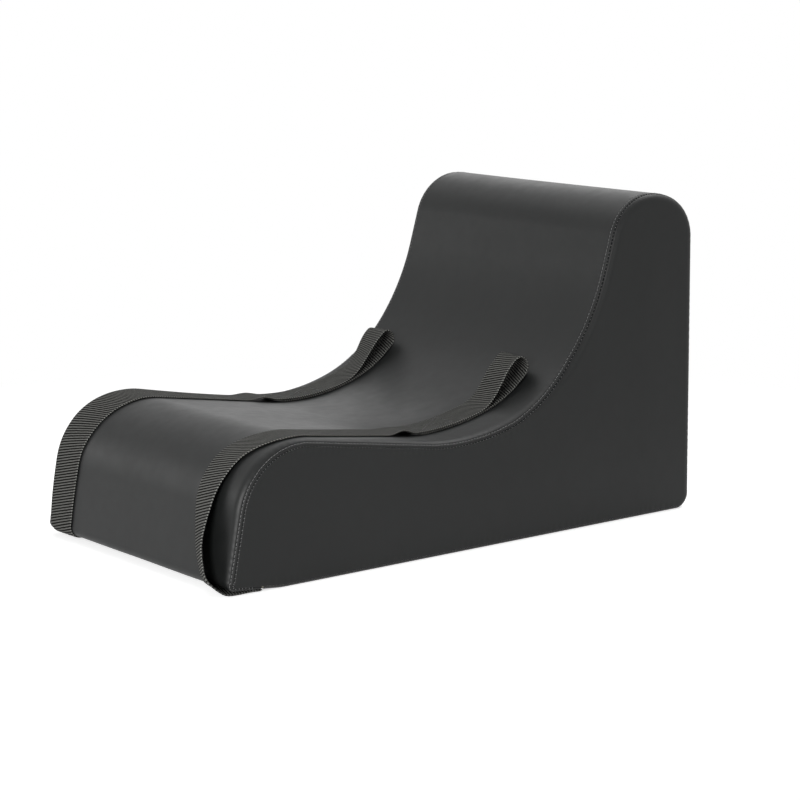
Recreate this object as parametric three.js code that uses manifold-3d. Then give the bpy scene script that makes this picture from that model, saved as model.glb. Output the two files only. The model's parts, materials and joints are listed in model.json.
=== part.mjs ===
// Pilates spine corrector: a foam seat wedge in a sewn vinyl cover, with two webbing straps that end in
// hand loops. Millimetres, +Z up, +X towards the high back, +Y towards the right-hand strap, and the origin
// at the centre of the base.

import * as THREE from 'three';
import { mergeVertices } from 'three/addons/utils/BufferGeometryUtils.js';
import Module from 'manifold-3d';

const wasm = await Module();
wasm.setup();
const rad = THREE.MathUtils.degToRad;

// Overall size of the padded body
const bodyLength = 830;
const bodyWidth = 450;
const bodyHeight = 470;

// Side outline. A heading is the direction of travel round the outline with the body on the right-hand
// side: along the base to the front, up the front, over the nose, down the seat, up the back and over the
// crest.
const baseHeading = rad(180);
const frontHeading = rad(80);
const seatHeading = rad(-8.7);
const backHeading = rad(73.7);
const rearHeading = rad(-89.3);
const footRadius = 12;
const footRise = 7;
const footRiseSetback = 85;
const undersideRadius = 150;
const noseHeight = 193;
const noseRadius = 104;
const seatBendRadius = { entry: 340, middle: 233, exit: 328 };
const seatBendHeading = { entry: rad(18), middle: rad(50) };
const crestRadius = { front: 76, top: 115, rear: 64 };
const crestHeading = { front: rad(3), top: rad(-22) };
const rearFootRadius = 24;

// Rounding of the side edges, and the angle round that rounding at which the side seam lies
const edgeRadius = 12;
const footEdgeRadius = 10;
const baseEdgeRadius = 7;
const noseSeam = rad(84);
const seatSeam = rad(78);
const backSeam = rad(32);
const crestSeam = rad(20);
const baseSeam = rad(60);

// Cover and clearances
const skin = 1.5;
const fit = 0.3;
const seamGap = 0.4;
const frontSeamSetback = 53;
const overrun = 2;

// Webbing straps. Each is sewn in at the front seam, comes up the front with some slack, runs along the
// seat over its own folded-back end, turns round in a hand loop and comes back under itself to that end.
const strapWidth = 50;
const strapThickness = 2.5;
const foldedEndX = -60;
const hingeX = 22;
const foldRise = { reach: 58, extra: 3 };

// Places along a strap where its route is set: heights up the front face, and the heading on the shoulder
const strapPlace = { knee: 22, low: 62, high: 118 };
const shoulderHeading = rad(45);

// The left strap: how far its outer edge lies in from the side face, how far each of its edges stands off
// the cover beyond lying on it, and how each edge of its hand loop opens towards the tip
const leftInset = {
  anchor: 4, foot: 9, knee: 18, low: 37, high: 43.4, shoulder: 40, nose: 12, seat: 36, hinge: 62,
};
const leftOuterSlack = { foot: 8.6, knee: 23.2, low: 22.2, high: 11.8, shoulder: 5.4, nose: 0.4 };
const leftInnerSlack = { foot: 0, knee: 0, low: 0, high: 0, shoulder: 0, nose: 0 };
const leftOuterOpening = { height: 27, start: 60, end: 135, tip: 156 };
const leftInnerOpening = { height: 20, start: 74, end: 136, tip: 160 };

// The right strap, which lies flat at its inner edge
const rightInset = {
  anchor: 16, foot: 17, knee: 16, low: 15, high: 17, shoulder: 26, nose: 34, seat: 31, hinge: 29,
};
const rightOuterSlack = { foot: 0.6, knee: 2.4, low: 4.9, high: 6.4, shoulder: 10.4, nose: 4.4 };
const rightInnerSlack = { foot: 0, knee: 0, low: 0, high: 0, shoulder: 0, nose: 0 };
const rightOuterOpening = { height: 16, start: 98, end: 147, tip: 159 };
const rightInnerOpening = { height: 23, start: 56, end: 139, tip: 158 };

const straps = {
  left: {
    side: -1, inset: leftInset, outerSlack: leftOuterSlack, innerSlack: leftInnerSlack,
    outerOpening: leftOuterOpening, innerOpening: leftInnerOpening,
  },
  right: {
    side: 1, inset: rightInset, outerSlack: rightOuterSlack, innerSlack: rightInnerSlack,
    outerOpening: rightOuterOpening, innerOpening: rightInnerOpening,
  },
};
const loopTipLift = 3;
const loopTipLiftReach = 70;

// Zip across the foot of the rear face
const zip = {
  height: 52, gap: 17,
  tapeWidth: 13.5, tapeThickness: 0.8,
  chainWidth: 9.5, chainThickness: 2.6,
  pitch: 5.2, toothWidth: 2.3, toothTaper: 0.35, toothReach: 1.9,
};
const slider = {
  length: 16, frontHalfWidth: 7.2, rearHalfWidth: 6.4, cornerRadius: 1.6, wing: 1.2, flange: 1.2,
  postLength: 3.4, postWidth: 3.4, startInset: 34, chainClearance: 1.2, pathClearance: 0.9,
  archSpan: 9.4, archWidth: 3, archWall: 1.2, archHeight: 4.2,
};
const pull = {
  length: 30, halfWidth: 4.6, thickness: 1.5,
  windowLength: 6.2, windowClearance: 0.6, tipHoleRadius: 1.8, tipHoleInset: 4.4,
};
const stop = { length: 5, width: 7, web: 1.4, wall: 0.8, endInset: 14 };

// Fineness of the curves
const arcStep = { foot: rad(13), nose: rad(7.5), seat: rad(6), crest: rad(9.2) };
const edgeSteps = 4;
const sideSteps = 3;
const strapStep = 14;
const tolerance = 0.003;

// Outline

const along = (angle) => new THREE.Vector2(Math.cos(angle), Math.sin(angle));
const outward = (angle) => new THREE.Vector2(-Math.sin(angle), Math.cos(angle));
const lerp = THREE.MathUtils.lerp;

// A run of tangent arcs, each measured from the start of the run. Each arc also carries the edge rounding
// and the seam angle at its two ends.
function arcRun(start, arcs) {
  const at = new THREE.Vector2();
  let angle = start;
  const parts = arcs.map((arc) => {
    const bulge = arc.until < angle ? arc.radius : -arc.radius;
    const centre = at.clone().addScaledVector(outward(angle), -bulge);
    const part = { ...arc, centre, bulge, from: angle };
    at.copy(centre).addScaledVector(outward(arc.until), bulge);
    angle = arc.until;
    return part;
  });
  return { parts, span: at };
}

function placeRun(run, start) {
  return run.parts.map((part) => ({ ...part, centre: part.centre.clone().add(start) }));
}

// Sets a run of arcs so that it leaves one straight line and joins the next, each a point and a heading
function cornerBetween(before, after, run) {
  const d = along(before.angle);
  const e = along(after.angle);
  const gap = after.point.clone().sub(before.point).sub(run.span);
  const reach = (gap.x * e.y - gap.y * e.x) / (d.x * e.y - d.y * e.x);
  return placeRun(run, before.point.clone().addScaledVector(d, reach));
}

// The missing coordinate of the centre of a circle inside a line, at one radius from it
function centreInside(line, radius, known) {
  const n = outward(line.angle);
  if ('x' in known) {
    return new THREE.Vector2(known.x, line.point.y - (radius + n.x * (known.x - line.point.x)) / n.y);
  }
  return new THREE.Vector2(line.point.x - (radius + n.y * (known.y - line.point.y)) / n.x, known.y);
}

function tangentLine(centre, radius, angle) {
  return { point: centre.clone().addScaledVector(outward(angle), radius), angle };
}

function outlineArcs() {
  const half = bodyLength / 2;
  const base = { point: new THREE.Vector2(0, 0), angle: baseHeading };
  const riseHeading = baseHeading - Math.atan2(footRise, footRiseSetback - footRadius);
  const underside = { point: new THREE.Vector2(footRiseSetback - half, 0), angle: riseHeading };
  const footCentre = centreInside(underside, footRadius, { x: footRadius - half });
  const front = tangentLine(footCentre, footRadius, frontHeading);
  const noseCentre = centreInside(front, noseRadius, { y: noseHeight - noseRadius });
  const seat = tangentLine(noseCentre, noseRadius, seatHeading);
  const rearFootCentre = new THREE.Vector2(half - rearFootRadius, rearFootRadius);
  const rear = tangentLine(rearFootCentre, rearFootRadius, rearHeading);

  const crestRun = arcRun(backHeading, [
    { radius: crestRadius.front, until: crestHeading.front, step: arcStep.crest,
      round: [edgeRadius, edgeRadius], seam: [backSeam, crestSeam] },
    { radius: crestRadius.top, until: crestHeading.top, step: arcStep.crest,
      round: [edgeRadius, edgeRadius], seam: [crestSeam, crestSeam] },
    { radius: crestRadius.rear, until: rearHeading, step: arcStep.crest,
      round: [edgeRadius, edgeRadius], seam: [crestSeam, crestSeam] },
  ]);
  const topArc = crestRun.parts[1];
  const crestStart = new THREE.Vector2(0, bodyHeight - topArc.centre.y - crestRadius.top);
  const n = outward(rearHeading);
  const crestEnd = crestStart.clone().add(crestRun.span).sub(rear.point);
  crestStart.x = -(n.y * crestEnd.y + n.x * crestEnd.x) / n.x;
  const back = { point: crestStart, angle: backHeading };

  const foot = cornerBetween(underside, front, arcRun(riseHeading, [
    { radius: footRadius, until: frontHeading, step: arcStep.foot,
      round: [baseEdgeRadius, footEdgeRadius], seam: [baseSeam, noseSeam] },
  ]));
  const nose = cornerBetween(front, seat, arcRun(frontHeading, [
    { radius: noseRadius, until: seatHeading, step: arcStep.nose,
      round: [edgeRadius, edgeRadius], seam: [noseSeam, noseSeam] },
  ]));
  const seatBend = cornerBetween(seat, back, arcRun(seatHeading, [
    { radius: seatBendRadius.entry, until: seatBendHeading.entry, step: arcStep.seat,
      round: [edgeRadius, edgeRadius], seam: [seatSeam, seatSeam] },
    { radius: seatBendRadius.middle, until: seatBendHeading.middle, step: arcStep.seat,
      round: [edgeRadius, edgeRadius], seam: [seatSeam, backSeam] },
    { radius: seatBendRadius.exit, until: backHeading, step: arcStep.seat,
      round: [edgeRadius, edgeRadius], seam: [backSeam, backSeam] },
  ]));
  const crest = placeRun(crestRun, crestStart);
  const rearFoot = cornerBetween(rear, { ...base, angle: baseHeading - rad(360) }, arcRun(rearHeading, [
    { radius: rearFootRadius, until: baseHeading - rad(360), step: arcStep.foot,
      round: [edgeRadius, baseEdgeRadius], seam: [crestSeam, baseSeam] },
  ]));
  const under = cornerBetween(base, underside, arcRun(baseHeading, [
    { radius: undersideRadius, until: riseHeading, step: arcStep.foot,
      round: [baseEdgeRadius, baseEdgeRadius], seam: [baseSeam, baseSeam] },
  ]));
  const seamX = frontSeamSetback - half;
  const seamPoint = new THREE.Vector2(seamX, -Math.tan(riseHeading) * (underside.point.x - seamX));
  return { seamPoint, riseHeading, arcs: [foot, nose, seatBend, crest, rearFoot, under].flat() };
}

// Stations round the closed outline from the front seam under the foot, each with its distance s from there
function makeOutline() {
  const { seamPoint, riseHeading, arcs } = outlineArcs();
  const stations = [{
    x: seamPoint.x, z: seamPoint.y, normal: outward(riseHeading), round: baseEdgeRadius, seam: baseSeam,
  }];
  for (const arc of arcs) {
    const steps = Math.ceil(Math.abs(arc.until - arc.from) / arc.step);
    for (let k = 0; k <= steps; k++) {
      const share = k / steps;
      const normal = outward(lerp(arc.from, arc.until, share));
      stations.push({
        x: arc.centre.x + arc.bulge * normal.x, z: arc.centre.y + arc.bulge * normal.y, normal,
        round: lerp(...arc.round, share), seam: lerp(...arc.seam, share),
      });
    }
  }
  const apart = (p, q) => Math.hypot(p.x - q.x, p.z - q.z);
  const distinct = stations.filter((p, i) => i === 0 || apart(p, stations[i - 1]) > fit);
  let s = 0;
  distinct.forEach((p, i) => {
    if (i > 0) s += apart(p, distinct[i - 1]);
    p.s = s;
  });
  return { stations: distinct, total: s + apart(distinct.at(-1), distinct[0]) };
}

const outline = makeOutline();

// The outline at any distance, on the straight facet between two stations
function stationAt(distance) {
  const s = ((distance % outline.total) + outline.total) % outline.total;
  const list = outline.stations;
  let i = list.length - 1;
  while (list[i].s > s) i--;
  const a = list[i];
  const b = list[(i + 1) % list.length];
  const end = i + 1 < list.length ? b.s : outline.total;
  const share = (s - a.s) / (end - a.s);
  return {
    s, x: lerp(a.x, b.x, share), z: lerp(a.z, b.z, share),
    normal: a.normal.clone().lerp(b.normal, share).normalize(),
    round: lerp(a.round, b.round, share), seam: lerp(a.seam, b.seam, share),
  };
}

function stretch(from, to) {
  const between = outline.stations.filter((p) => p.s > from + fit && p.s < to - fit);
  return [stationAt(from), ...between, stationAt(to)];
}

// The distance at which the outline first passes a test, stepping on from a start
function distanceWhere(start, test) {
  let low = start;
  const step = edgeRadius;
  while (!test(stationAt(low + step))) low += step;
  let high = low + step;
  while (high - low > tolerance) {
    const middle = (low + high) / 2;
    if (test(stationAt(middle))) high = middle;
    else low = middle;
  }
  return high;
}

const crestDistance = distanceWhere(0, (p) => p.normal.x > -Math.sin(crestHeading.top));
const noseDistance = distanceWhere(0, (p) => p.normal.x > 0);
const seatDistance = (x) => distanceWhere(noseDistance, (p) => p.x > x);
const frontDistance = (z) => distanceWhere(0, (p) => p.z > z);
const rearDistance = (z) => distanceWhere(crestDistance, (p) => p.z < z);

// A point across the body at a station. The angle goes round the edge rounding, from the top to the side.
function sectionPoint(station, side, angle, depth) {
  const { x, z, normal, round } = station;
  const inset = round - (round - depth) * Math.cos(angle);
  const y = bodyWidth / 2 - round + (round - depth) * Math.sin(angle);
  return new THREE.Vector3(x - normal.x * inset, side * y, z - normal.y * inset);
}

// Solids

// Gathers points and outward faces into one closed body.
function bodyMesh() {
  const positions = [];
  const index = [];
  return {
    point: (v) => positions.push(v.x, v.y, v.z) / 3 - 1,
    face: (...corners) => {
      for (let k = 2; k < corners.length; k++) index.push(corners[0], corners[k - 1], corners[k]);
    },
    geometry: () => {
      const geometry = new THREE.BufferGeometry();
      geometry.setAttribute('position', new THREE.Float32BufferAttribute(positions, 3));
      geometry.setIndex(index);
      return geometry;
    },
  };
}

// Lofts a thin section along its stations: at each, an outer row of points and the inner row that backs it
function loftSections(sections) {
  const mesh = bodyMesh();
  const rings = sections.map(({ outer, inner }) => [...outer, ...inner.toReversed()].map(mesh.point));
  const count = rings[0].length;
  for (let i = 0; i + 1 < rings.length; i++) {
    for (let k = 0; k < count; k++) {
      const next = (k + 1) % count;
      mesh.face(rings[i][k], rings[i + 1][k], rings[i + 1][next], rings[i][next]);
    }
  }
  const first = rings[0];
  const last = rings.at(-1);
  for (let k = 0; k + 1 < count / 2; k++) {
    mesh.face(first[k], first[k + 1], first[count - 2 - k], first[count - 1 - k]);
    mesh.face(last[count - 1 - k], last[count - 2 - k], last[k + 1], last[k]);
  }
  return mesh.geometry();
}

// Closes a flat side face across a ring of points, facing -Y or +Y.
function closeSide(mesh, ids, points, side) {
  const contour = points.map((p) => new THREE.Vector2(p.x, p.z));
  for (const [a, b, c] of THREE.ShapeUtils.triangulateShape(contour, [])) {
    const turn = (contour[b].x - contour[a].x) * (contour[c].y - contour[a].y)
      - (contour[b].y - contour[a].y) * (contour[c].x - contour[a].x);
    if (turn * side < 0) mesh.face(ids[a], ids[b], ids[c]);
    else mesh.face(ids[a], ids[c], ids[b]);
  }
}

const evenSteps = (from, to, steps) =>
  Array.from({ length: steps + 1 }, (_, k) => lerp(from, to, k / steps));

function toManifold(geometry, matrix = new THREE.Matrix4()) {
  const bare = geometry.clone().applyMatrix4(matrix);
  bare.deleteAttribute('normal');
  bare.deleteAttribute('uv');
  const merged = mergeVertices(bare);
  const mesh = new wasm.Mesh({
    numProp: 3,
    vertProperties: new Float32Array(merged.attributes.position.array),
    triVerts: new Uint32Array(merged.index.array),
  });
  return new wasm.Manifold(mesh);
}

function fromManifold(solid) {
  const mesh = solid.getMesh();
  const geometry = new THREE.BufferGeometry();
  geometry.setAttribute('position', new THREE.BufferAttribute(new Float32Array(mesh.vertProperties), 3));
  geometry.setIndex(new THREE.BufferAttribute(new Uint32Array(mesh.triVerts), 1));
  return geometry;
}

// A box between any two opposite corners
function boxBetween(...corners) {
  const box = new THREE.Box3().setFromPoints(corners.map((corner) => new THREE.Vector3(...corner)));
  const size = box.getSize(new THREE.Vector3());
  return new THREE.BoxGeometry(...size).translate(...box.getCenter(new THREE.Vector3()));
}

// A flat outline drawn in the rear face's own Y and Z, thickened along X from one depth to another
function plateOnRear(shape, from, to) {
  const depth = to - from;
  return new THREE.ExtrudeGeometry(shape, { depth, bevelEnabled: false, curveSegments: edgeSteps })
    .applyMatrix4(new THREE.Matrix4().makeBasis(
      new THREE.Vector3(0, 1, 0), new THREE.Vector3(0, 0, 1), new THREE.Vector3(1, 0, 0)))
    .translate(from, 0, 0);
}

// Materials

const surface = (color, roughness, metalness = 0) =>
  new THREE.MeshStandardMaterial({ color, roughness, metalness });
const finish = {
  vinyl: () => surface(0x3b3d3c, 0.42),
  base: () => surface(0x262727, 0.85),
  foam: () => surface(0xcfc9b4, 0.95),
  webbing: () => surface(0x2f2f2d, 0.9),
  tape: () => surface(0x1d1d1e, 0.9),
  metal: () => surface(0x2a2b2d, 0.35, 0.9),
};

function piece(name, geometry, material) {
  const mesh = new THREE.Mesh(geometry, material);
  mesh.name = name;
  return mesh;
}

// Places of the seams and the zip along the outline
const zipTop = rearDistance(zip.height + zip.gap / 2);
const zipBottom = rearDistance(zip.height - zip.gap / 2);
const zipMiddle = stationAt(rearDistance(zip.height));
const rearLean = baseHeading / 2 + rearHeading;
const zipFrame = new THREE.Matrix4().makeRotationY(-rearLean).setPosition(zipMiddle.x, 0, zipMiddle.z);

// Depths in the zip's frame, measured out from the face of the cover
const tapeFace = -skin - fit;
const tapeBack = tapeFace - zip.tapeThickness;
const chainFace = (tapeFace + tapeBack + zip.chainThickness) / 2;
const chainBack = chainFace - zip.chainThickness;
const tapeEdge = zip.tapeWidth + zip.toothReach;
const zipEnd = bodyWidth / 2 - edgeRadius - seamGap;
const sliderStart = slider.startInset - bodyWidth / 2;
const stopStart = bodyWidth / 2 - stop.endInset - stop.length;
const chainStart = sliderStart - slider.length / 2 + slider.postLength + slider.chainClearance;
const wingFace = chainFace + fit + slider.wing;
const wingBack = chainBack - fit - slider.wing;

// Cover and foam

// One panel of the cover between its two side seams
function coverPanel(from, to) {
  return loftSections(stretch(from, to).map((station) => {
    const seam = station.seam - seamGap / 2 / station.round;
    const row = (depth) => [
      ...evenSteps(seam, 0, edgeSteps).map((angle) => sectionPoint(station, -1, angle, depth)),
      ...evenSteps(0, seam, edgeSteps).map((angle) => sectionPoint(station, 1, angle, depth)),
    ];
    return { outer: row(0), inner: row(skin) };
  }));
}

// One side of the cover: a flat face whose rim rolls over the edge to the seam
function coverSide(side) {
  const mesh = bodyMesh();
  const rows = outline.stations.map((station) => {
    const angles = evenSteps(station.seam + seamGap / 2 / station.round, rad(90), sideSteps);
    const outer = angles.map((angle) => sectionPoint(station, side, angle, 0));
    const inner = angles.map((angle) => sectionPoint(station, side, angle, skin));
    return { points: [...outer.toReversed(), ...inner] };
  });
  const ids = rows.map((row) => row.points.map(mesh.point));
  const count = ids[0].length;
  for (let i = 0; i < ids.length; i++) {
    const next = (i + 1) % ids.length;
    for (let k = 0; k + 1 < count; k++) {
      const corners = [ids[i][k], ids[next][k], ids[next][k + 1], ids[i][k + 1]];
      mesh.face(...(side < 0 ? corners : corners.toReversed()));
    }
  }
  closeSide(mesh, ids.map((row) => row[0]), rows.map((row) => row.points[0]), side);
  closeSide(mesh, ids.map((row) => row[count - 1]), rows.map((row) => row.points[count - 1]), -side);
  return mesh.geometry();
}

// The foam block fills the cover, and gives way behind the zip's tapes and along the slider's path.
function foamBlock() {
  const mesh = bodyMesh();
  const depth = skin + fit;
  const rows = outline.stations.map((station) => [
    ...evenSteps(rad(90), 0, edgeSteps).map((angle) => sectionPoint(station, -1, angle, depth)),
    ...evenSteps(0, rad(90), edgeSteps).map((angle) => sectionPoint(station, 1, angle, depth)),
  ]);
  const ids = rows.map((row) => row.map(mesh.point));
  const count = ids[0].length;
  for (let i = 0; i < ids.length; i++) {
    const next = (i + 1) % ids.length;
    for (let k = 0; k + 1 < count; k++) mesh.face(ids[i][k], ids[next][k], ids[next][k + 1], ids[i][k + 1]);
  }
  closeSide(mesh, ids.map((row) => row[0]), rows.map((row) => row[0]), -1);
  closeSide(mesh, ids.map((row) => row[count - 1]), rows.map((row) => row[count - 1]), 1);

  const reach = zipEnd + fit;
  const tapeRelief = boxBetween([tapeBack - fit, -reach, -tapeEdge - fit], [overrun, reach, tapeEdge + fit]);
  const path = slider.frontHalfWidth + slider.pathClearance;
  const sliderRelief = boxBetween(
    [wingBack - fit, sliderStart - slider.length / 2 - overrun, -path],
    [overrun, stopStart + stop.length + fit, path]);
  return fromManifold(toManifold(mesh.geometry())
    .subtract(toManifold(tapeRelief, zipFrame))
    .subtract(toManifold(sliderRelief, zipFrame)));
}

// Straps

// A smooth curve through places along the outline, which never swings past the values that it joins
function smoothThrough(marks) {
  const rise = marks.slice(1).map(([at, value], i) => (value - marks[i][1]) / (at - marks[i][0]));
  const slope = marks.map((_, i) => {
    if (i === 0 || i === marks.length - 1 || rise[i - 1] * rise[i] <= 0) return 0;
    return 2 * rise[i - 1] * rise[i] / (rise[i - 1] + rise[i]);
  });
  return (s) => {
    let i = 0;
    while (i + 2 < marks.length && s > marks[i + 1][0]) i++;
    const [from, low] = marks[i];
    const [to, high] = marks[i + 1];
    const t = THREE.MathUtils.clamp((s - from) / (to - from), 0, 1);
    const span = to - from;
    return (1 + 2 * t) * (1 - t) ** 2 * low + t * (1 - t) ** 2 * span * slope[i]
      + t ** 2 * (3 - 2 * t) * high + t ** 2 * (t - 1) * span * slope[i + 1];
  };
}

const smoothStep = THREE.MathUtils.smoothstep;
const hump = (s, middle, reach) => {
  const off = Math.min(Math.abs(s - middle) / reach, 1);
  return (1 + Math.cos(Math.PI * off)) / 2;
};

// A point above the cover at a distance along the outline, kept off the floor
function overCover(s, height, y) {
  const { x, z, normal } = stationAt(s);
  const floor = fit / 2 + strapThickness / 2;
  return new THREE.Vector3(x + normal.x * height, y, Math.max(z + normal.y * height, floor));
}

// Webbing between a -Y edge and a +Y edge, each a list of points on the middle of its thickness
function webbing(lowEdge, highEdge) {
  const side = (edge, k) => {
    const before = edge[Math.max(k - 1, 0)];
    const after = edge[Math.min(k + 1, edge.length - 1)];
    const across = highEdge[k].clone().sub(lowEdge[k]);
    const up = after.clone().sub(before).cross(across).setLength(strapThickness / 2);
    return { outer: edge[k].clone().add(up), inner: edge[k].clone().sub(up) };
  };
  return loftSections(lowEdge.map((_, k) => {
    const low = side(lowEdge, k);
    const high = side(highEdge, k);
    return { outer: [low.outer, high.outer], inner: [low.inner, high.inner] };
  }));
}

// Everything about one strap that its pieces share
const hinge = seatDistance(hingeX);
const foldedEnd = seatDistance(foldedEndX);
const lay = fit + strapThickness / 2;
const stack = strapThickness + fit;

function strapEdges({ side, inset, outerSlack, innerSlack }) {
  const high = frontDistance(strapPlace.high);
  const places = {
    foot: frontDistance(footRise + footRadius / 2),
    knee: frontDistance(strapPlace.knee),
    low: frontDistance(strapPlace.low),
    high,
    shoulder: distanceWhere(high, (p) => p.normal.y > Math.cos(shoulderHeading)),
    nose: noseDistance,
  };
  const middle = (noseDistance + hinge) / 2;
  const route = (values, first, ...ends) => smoothThrough([
    [0, first], ...Object.entries(places).map(([name, s]) => [s, values[name]]), ...ends,
  ]);
  const insetAt = route(inset, inset.anchor, [middle, inset.seat], [hinge, inset.hinge]);
  const outerSlackAt = route(outerSlack, 0, [middle, 0]);
  const innerSlackAt = route(innerSlack, 0, [middle, 0]);
  const outerLift = (s) => lay + outerSlackAt(s);
  const innerLift = (s) => lay + innerSlackAt(s);
  const place = (s, outerHeight, innerHeight) => {
    const width = Math.sqrt(strapWidth ** 2 - (outerHeight - innerHeight) ** 2);
    const outerY = side * (bodyWidth / 2 - insetAt(s));
    return [outerY, outerY - side * width];
  };
  return { outerLift, innerLift, place };
}

// Distances along the outline for a strap's sections: every corner of it, and even steps between them
function strapStations(from, to) {
  return stretch(from, to).flatMap((p, i, list) => {
    if (i === 0) return [p.s];
    const before = list[i - 1].s;
    const steps = Math.ceil((p.s - before) / strapStep);
    return evenSteps(before, p.s, steps).slice(1);
  });
}

// Turns a list of outer and inner edge points into webbing, whichever side of the body the strap is on.
function strapSolid(side, outer, inner) {
  return side < 0 ? webbing(outer, inner) : webbing(inner, outer);
}

// The strap from the seam under the foot, up the front, along the seat and over its folded-back end
function strapRun(strap) {
  const { outerLift, innerLift, place } = strapEdges(strap);
  const corner = seamGap / 2;
  const overFold = (s) => stack * smoothStep(s, foldedEnd - foldRise.reach, foldedEnd - strapStep)
    + foldRise.extra * hump(s, foldedEnd - foldRise.reach / 2, foldRise.reach / 2);
  const outer = [];
  const inner = [];
  const put = (s, outerHeight, innerHeight) => {
    const [outerY, innerY] = place(Math.max(s, 0), outerHeight, innerHeight);
    outer.push(overCover(s, outerHeight, outerY));
    inner.push(overCover(s, innerHeight, innerY));
  };
  put(corner - lay, -skin, -skin);
  for (const angle of evenSteps(0, rad(90), sideSteps)) {
    put(corner - lay * Math.cos(angle), lay * Math.sin(angle), lay * Math.sin(angle));
  }
  for (const s of strapStations(corner, hinge - fit / 2).slice(1)) {
    put(s, outerLift(s) + overFold(s), innerLift(s) + overFold(s));
  }
  return strapSolid(strap.side, outer, inner);
}

// The folded-back end of the webbing, sewn to the strap's underside
function strapEnd(strap) {
  const { place } = strapEdges(strap);
  const outer = [];
  const inner = [];
  for (const s of strapStations(foldedEnd, hinge - fit / 2)) {
    const [outerY, innerY] = place(s, lay, lay);
    outer.push(overCover(s, lay, outerY));
    inner.push(overCover(s, lay, innerY));
  }
  return strapSolid(strap.side, outer, inner);
}

// The hand loop: the webbing runs on up the seat bend, turns round, and comes back along the cover.
function handLoop(strap) {
  const { place } = strapEdges(strap);
  const root = hinge + fit / 2;
  const edgePath = (opening) => {
    const { height } = opening;
    const tip = seatDistance(opening.tip);
    const tipLift = (s) => loopTipLift * smoothStep(s, tip - loopTipLiftReach, tip);
    const radius = (stack + height) / 2;
    const turn = tip - radius;
    const from = seatDistance(opening.start);
    const to = seatDistance(opening.end);
    const rise = (s) => stack + height * smoothStep(s, from, to);
    const steps = Math.ceil((turn - root) / (strapStep / 2));
    const lower = evenSteps(root, turn, steps).map((s) => [s, lay + tipLift(s)]);
    const round = evenSteps(rad(-90), rad(90), 2 * edgeSteps).slice(1, -1).map((angle) => {
      const s = turn + radius * Math.cos(angle);
      return [s, lay + tipLift(turn) + radius * (1 + Math.sin(angle))];
    });
    const upper = evenSteps(turn, root, steps).map((s) => [s, lay + tipLift(s) + rise(s)]);
    return [...lower, ...round, ...upper];
  };
  const outerPath = edgePath(strap.outerOpening);
  const innerPath = edgePath(strap.innerOpening);
  const outer = [];
  const inner = [];
  const count = Math.min(outerPath.length, innerPath.length);
  const pick = (path, k) => path[Math.round(k * (path.length - 1) / (count - 1))];
  for (let k = 0; k < count; k++) {
    const [outerS, outerHeight] = pick(outerPath, k);
    const [innerS, innerHeight] = pick(innerPath, k);
    const [outerY, innerY] = place(outerS, outerHeight, innerHeight);
    outer.push(overCover(outerS, outerHeight, outerY));
    inner.push(overCover(innerS, innerHeight, innerY));
  }
  return strapSolid(strap.side, outer, inner);
}

// Zip

// Half of the zip, a tape with a row of moulded teeth: side is 1 for the upper half, -1 for the lower
function zipHalf(side) {
  const root = zip.toothReach + fit;
  const row = new THREE.Shape();
  const edge = zip.chainWidth / 2;
  const first = chainStart + (side > 0 ? 0 : zip.pitch / 2);
  const count = Math.floor((stopStart - fit - first) / zip.pitch);
  const end = first + (count - 1) * zip.pitch + zip.toothWidth;
  row.moveTo(first, side * edge);
  for (let k = 0; k < count; k++) {
    const y = first + k * zip.pitch;
    row.lineTo(y, side * root);
    row.lineTo(y + zip.toothTaper, -side * zip.toothReach);
    row.lineTo(y + zip.toothWidth - zip.toothTaper, -side * zip.toothReach);
    row.lineTo(y + zip.toothWidth, side * root);
  }
  row.lineTo(end, side * edge);
  const tape = boxBetween([tapeBack, -zipEnd, side * root], [tapeFace, zipEnd, side * tapeEdge]);
  return fromManifold(toManifold(plateOnRear(row, chainBack, chainFace)).add(toManifold(tape)));
}

// The stop at the open end of the zip: two small plates joined by a web between the tapes
function zipStop() {
  const outline = new THREE.Shape();
  const halfWidth = stop.width / 2;
  const halfWeb = stop.web / 2;
  const outer = tapeFace + fit;
  const inner = tapeBack - fit;
  outline.moveTo(outer + stop.wall, -halfWidth);
  outline.lineTo(outer + stop.wall, halfWidth);
  outline.lineTo(outer, halfWidth);
  outline.lineTo(outer, halfWeb);
  outline.lineTo(inner, halfWeb);
  outline.lineTo(inner, halfWidth);
  outline.lineTo(inner - stop.wall, halfWidth);
  outline.lineTo(inner - stop.wall, -halfWidth);
  outline.lineTo(inner, -halfWidth);
  outline.lineTo(inner, -halfWeb);
  outline.lineTo(outer, -halfWeb);
  outline.lineTo(outer, -halfWidth);
  return new THREE.ExtrudeGeometry(outline, { depth: stop.length, bevelEnabled: false })
    .rotateX(rad(90))
    .translate(0, stopStart + stop.length, 0);
}

// The outline of the slider's wings, wider at the end where the two halves of the zip come in
function wingOutline() {
  const half = slider.length / 2;
  const r = slider.cornerRadius;
  const wing = new THREE.Shape();
  wing.moveTo(-half + r, -slider.frontHalfWidth);
  wing.lineTo(half - r, -slider.rearHalfWidth);
  wing.absarc(half - r, r - slider.rearHalfWidth, r, rad(-90), 0);
  wing.lineTo(half, slider.rearHalfWidth - r);
  wing.absarc(half - r, slider.rearHalfWidth - r, r, 0, rad(90));
  wing.lineTo(-half + r, slider.frontHalfWidth);
  wing.absarc(-half + r, slider.frontHalfWidth - r, r, rad(90), rad(180));
  wing.lineTo(-half, r - slider.frontHalfWidth);
  wing.absarc(-half + r, r - slider.frontHalfWidth, r, rad(180), rad(270));
  return wing;
}

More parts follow.
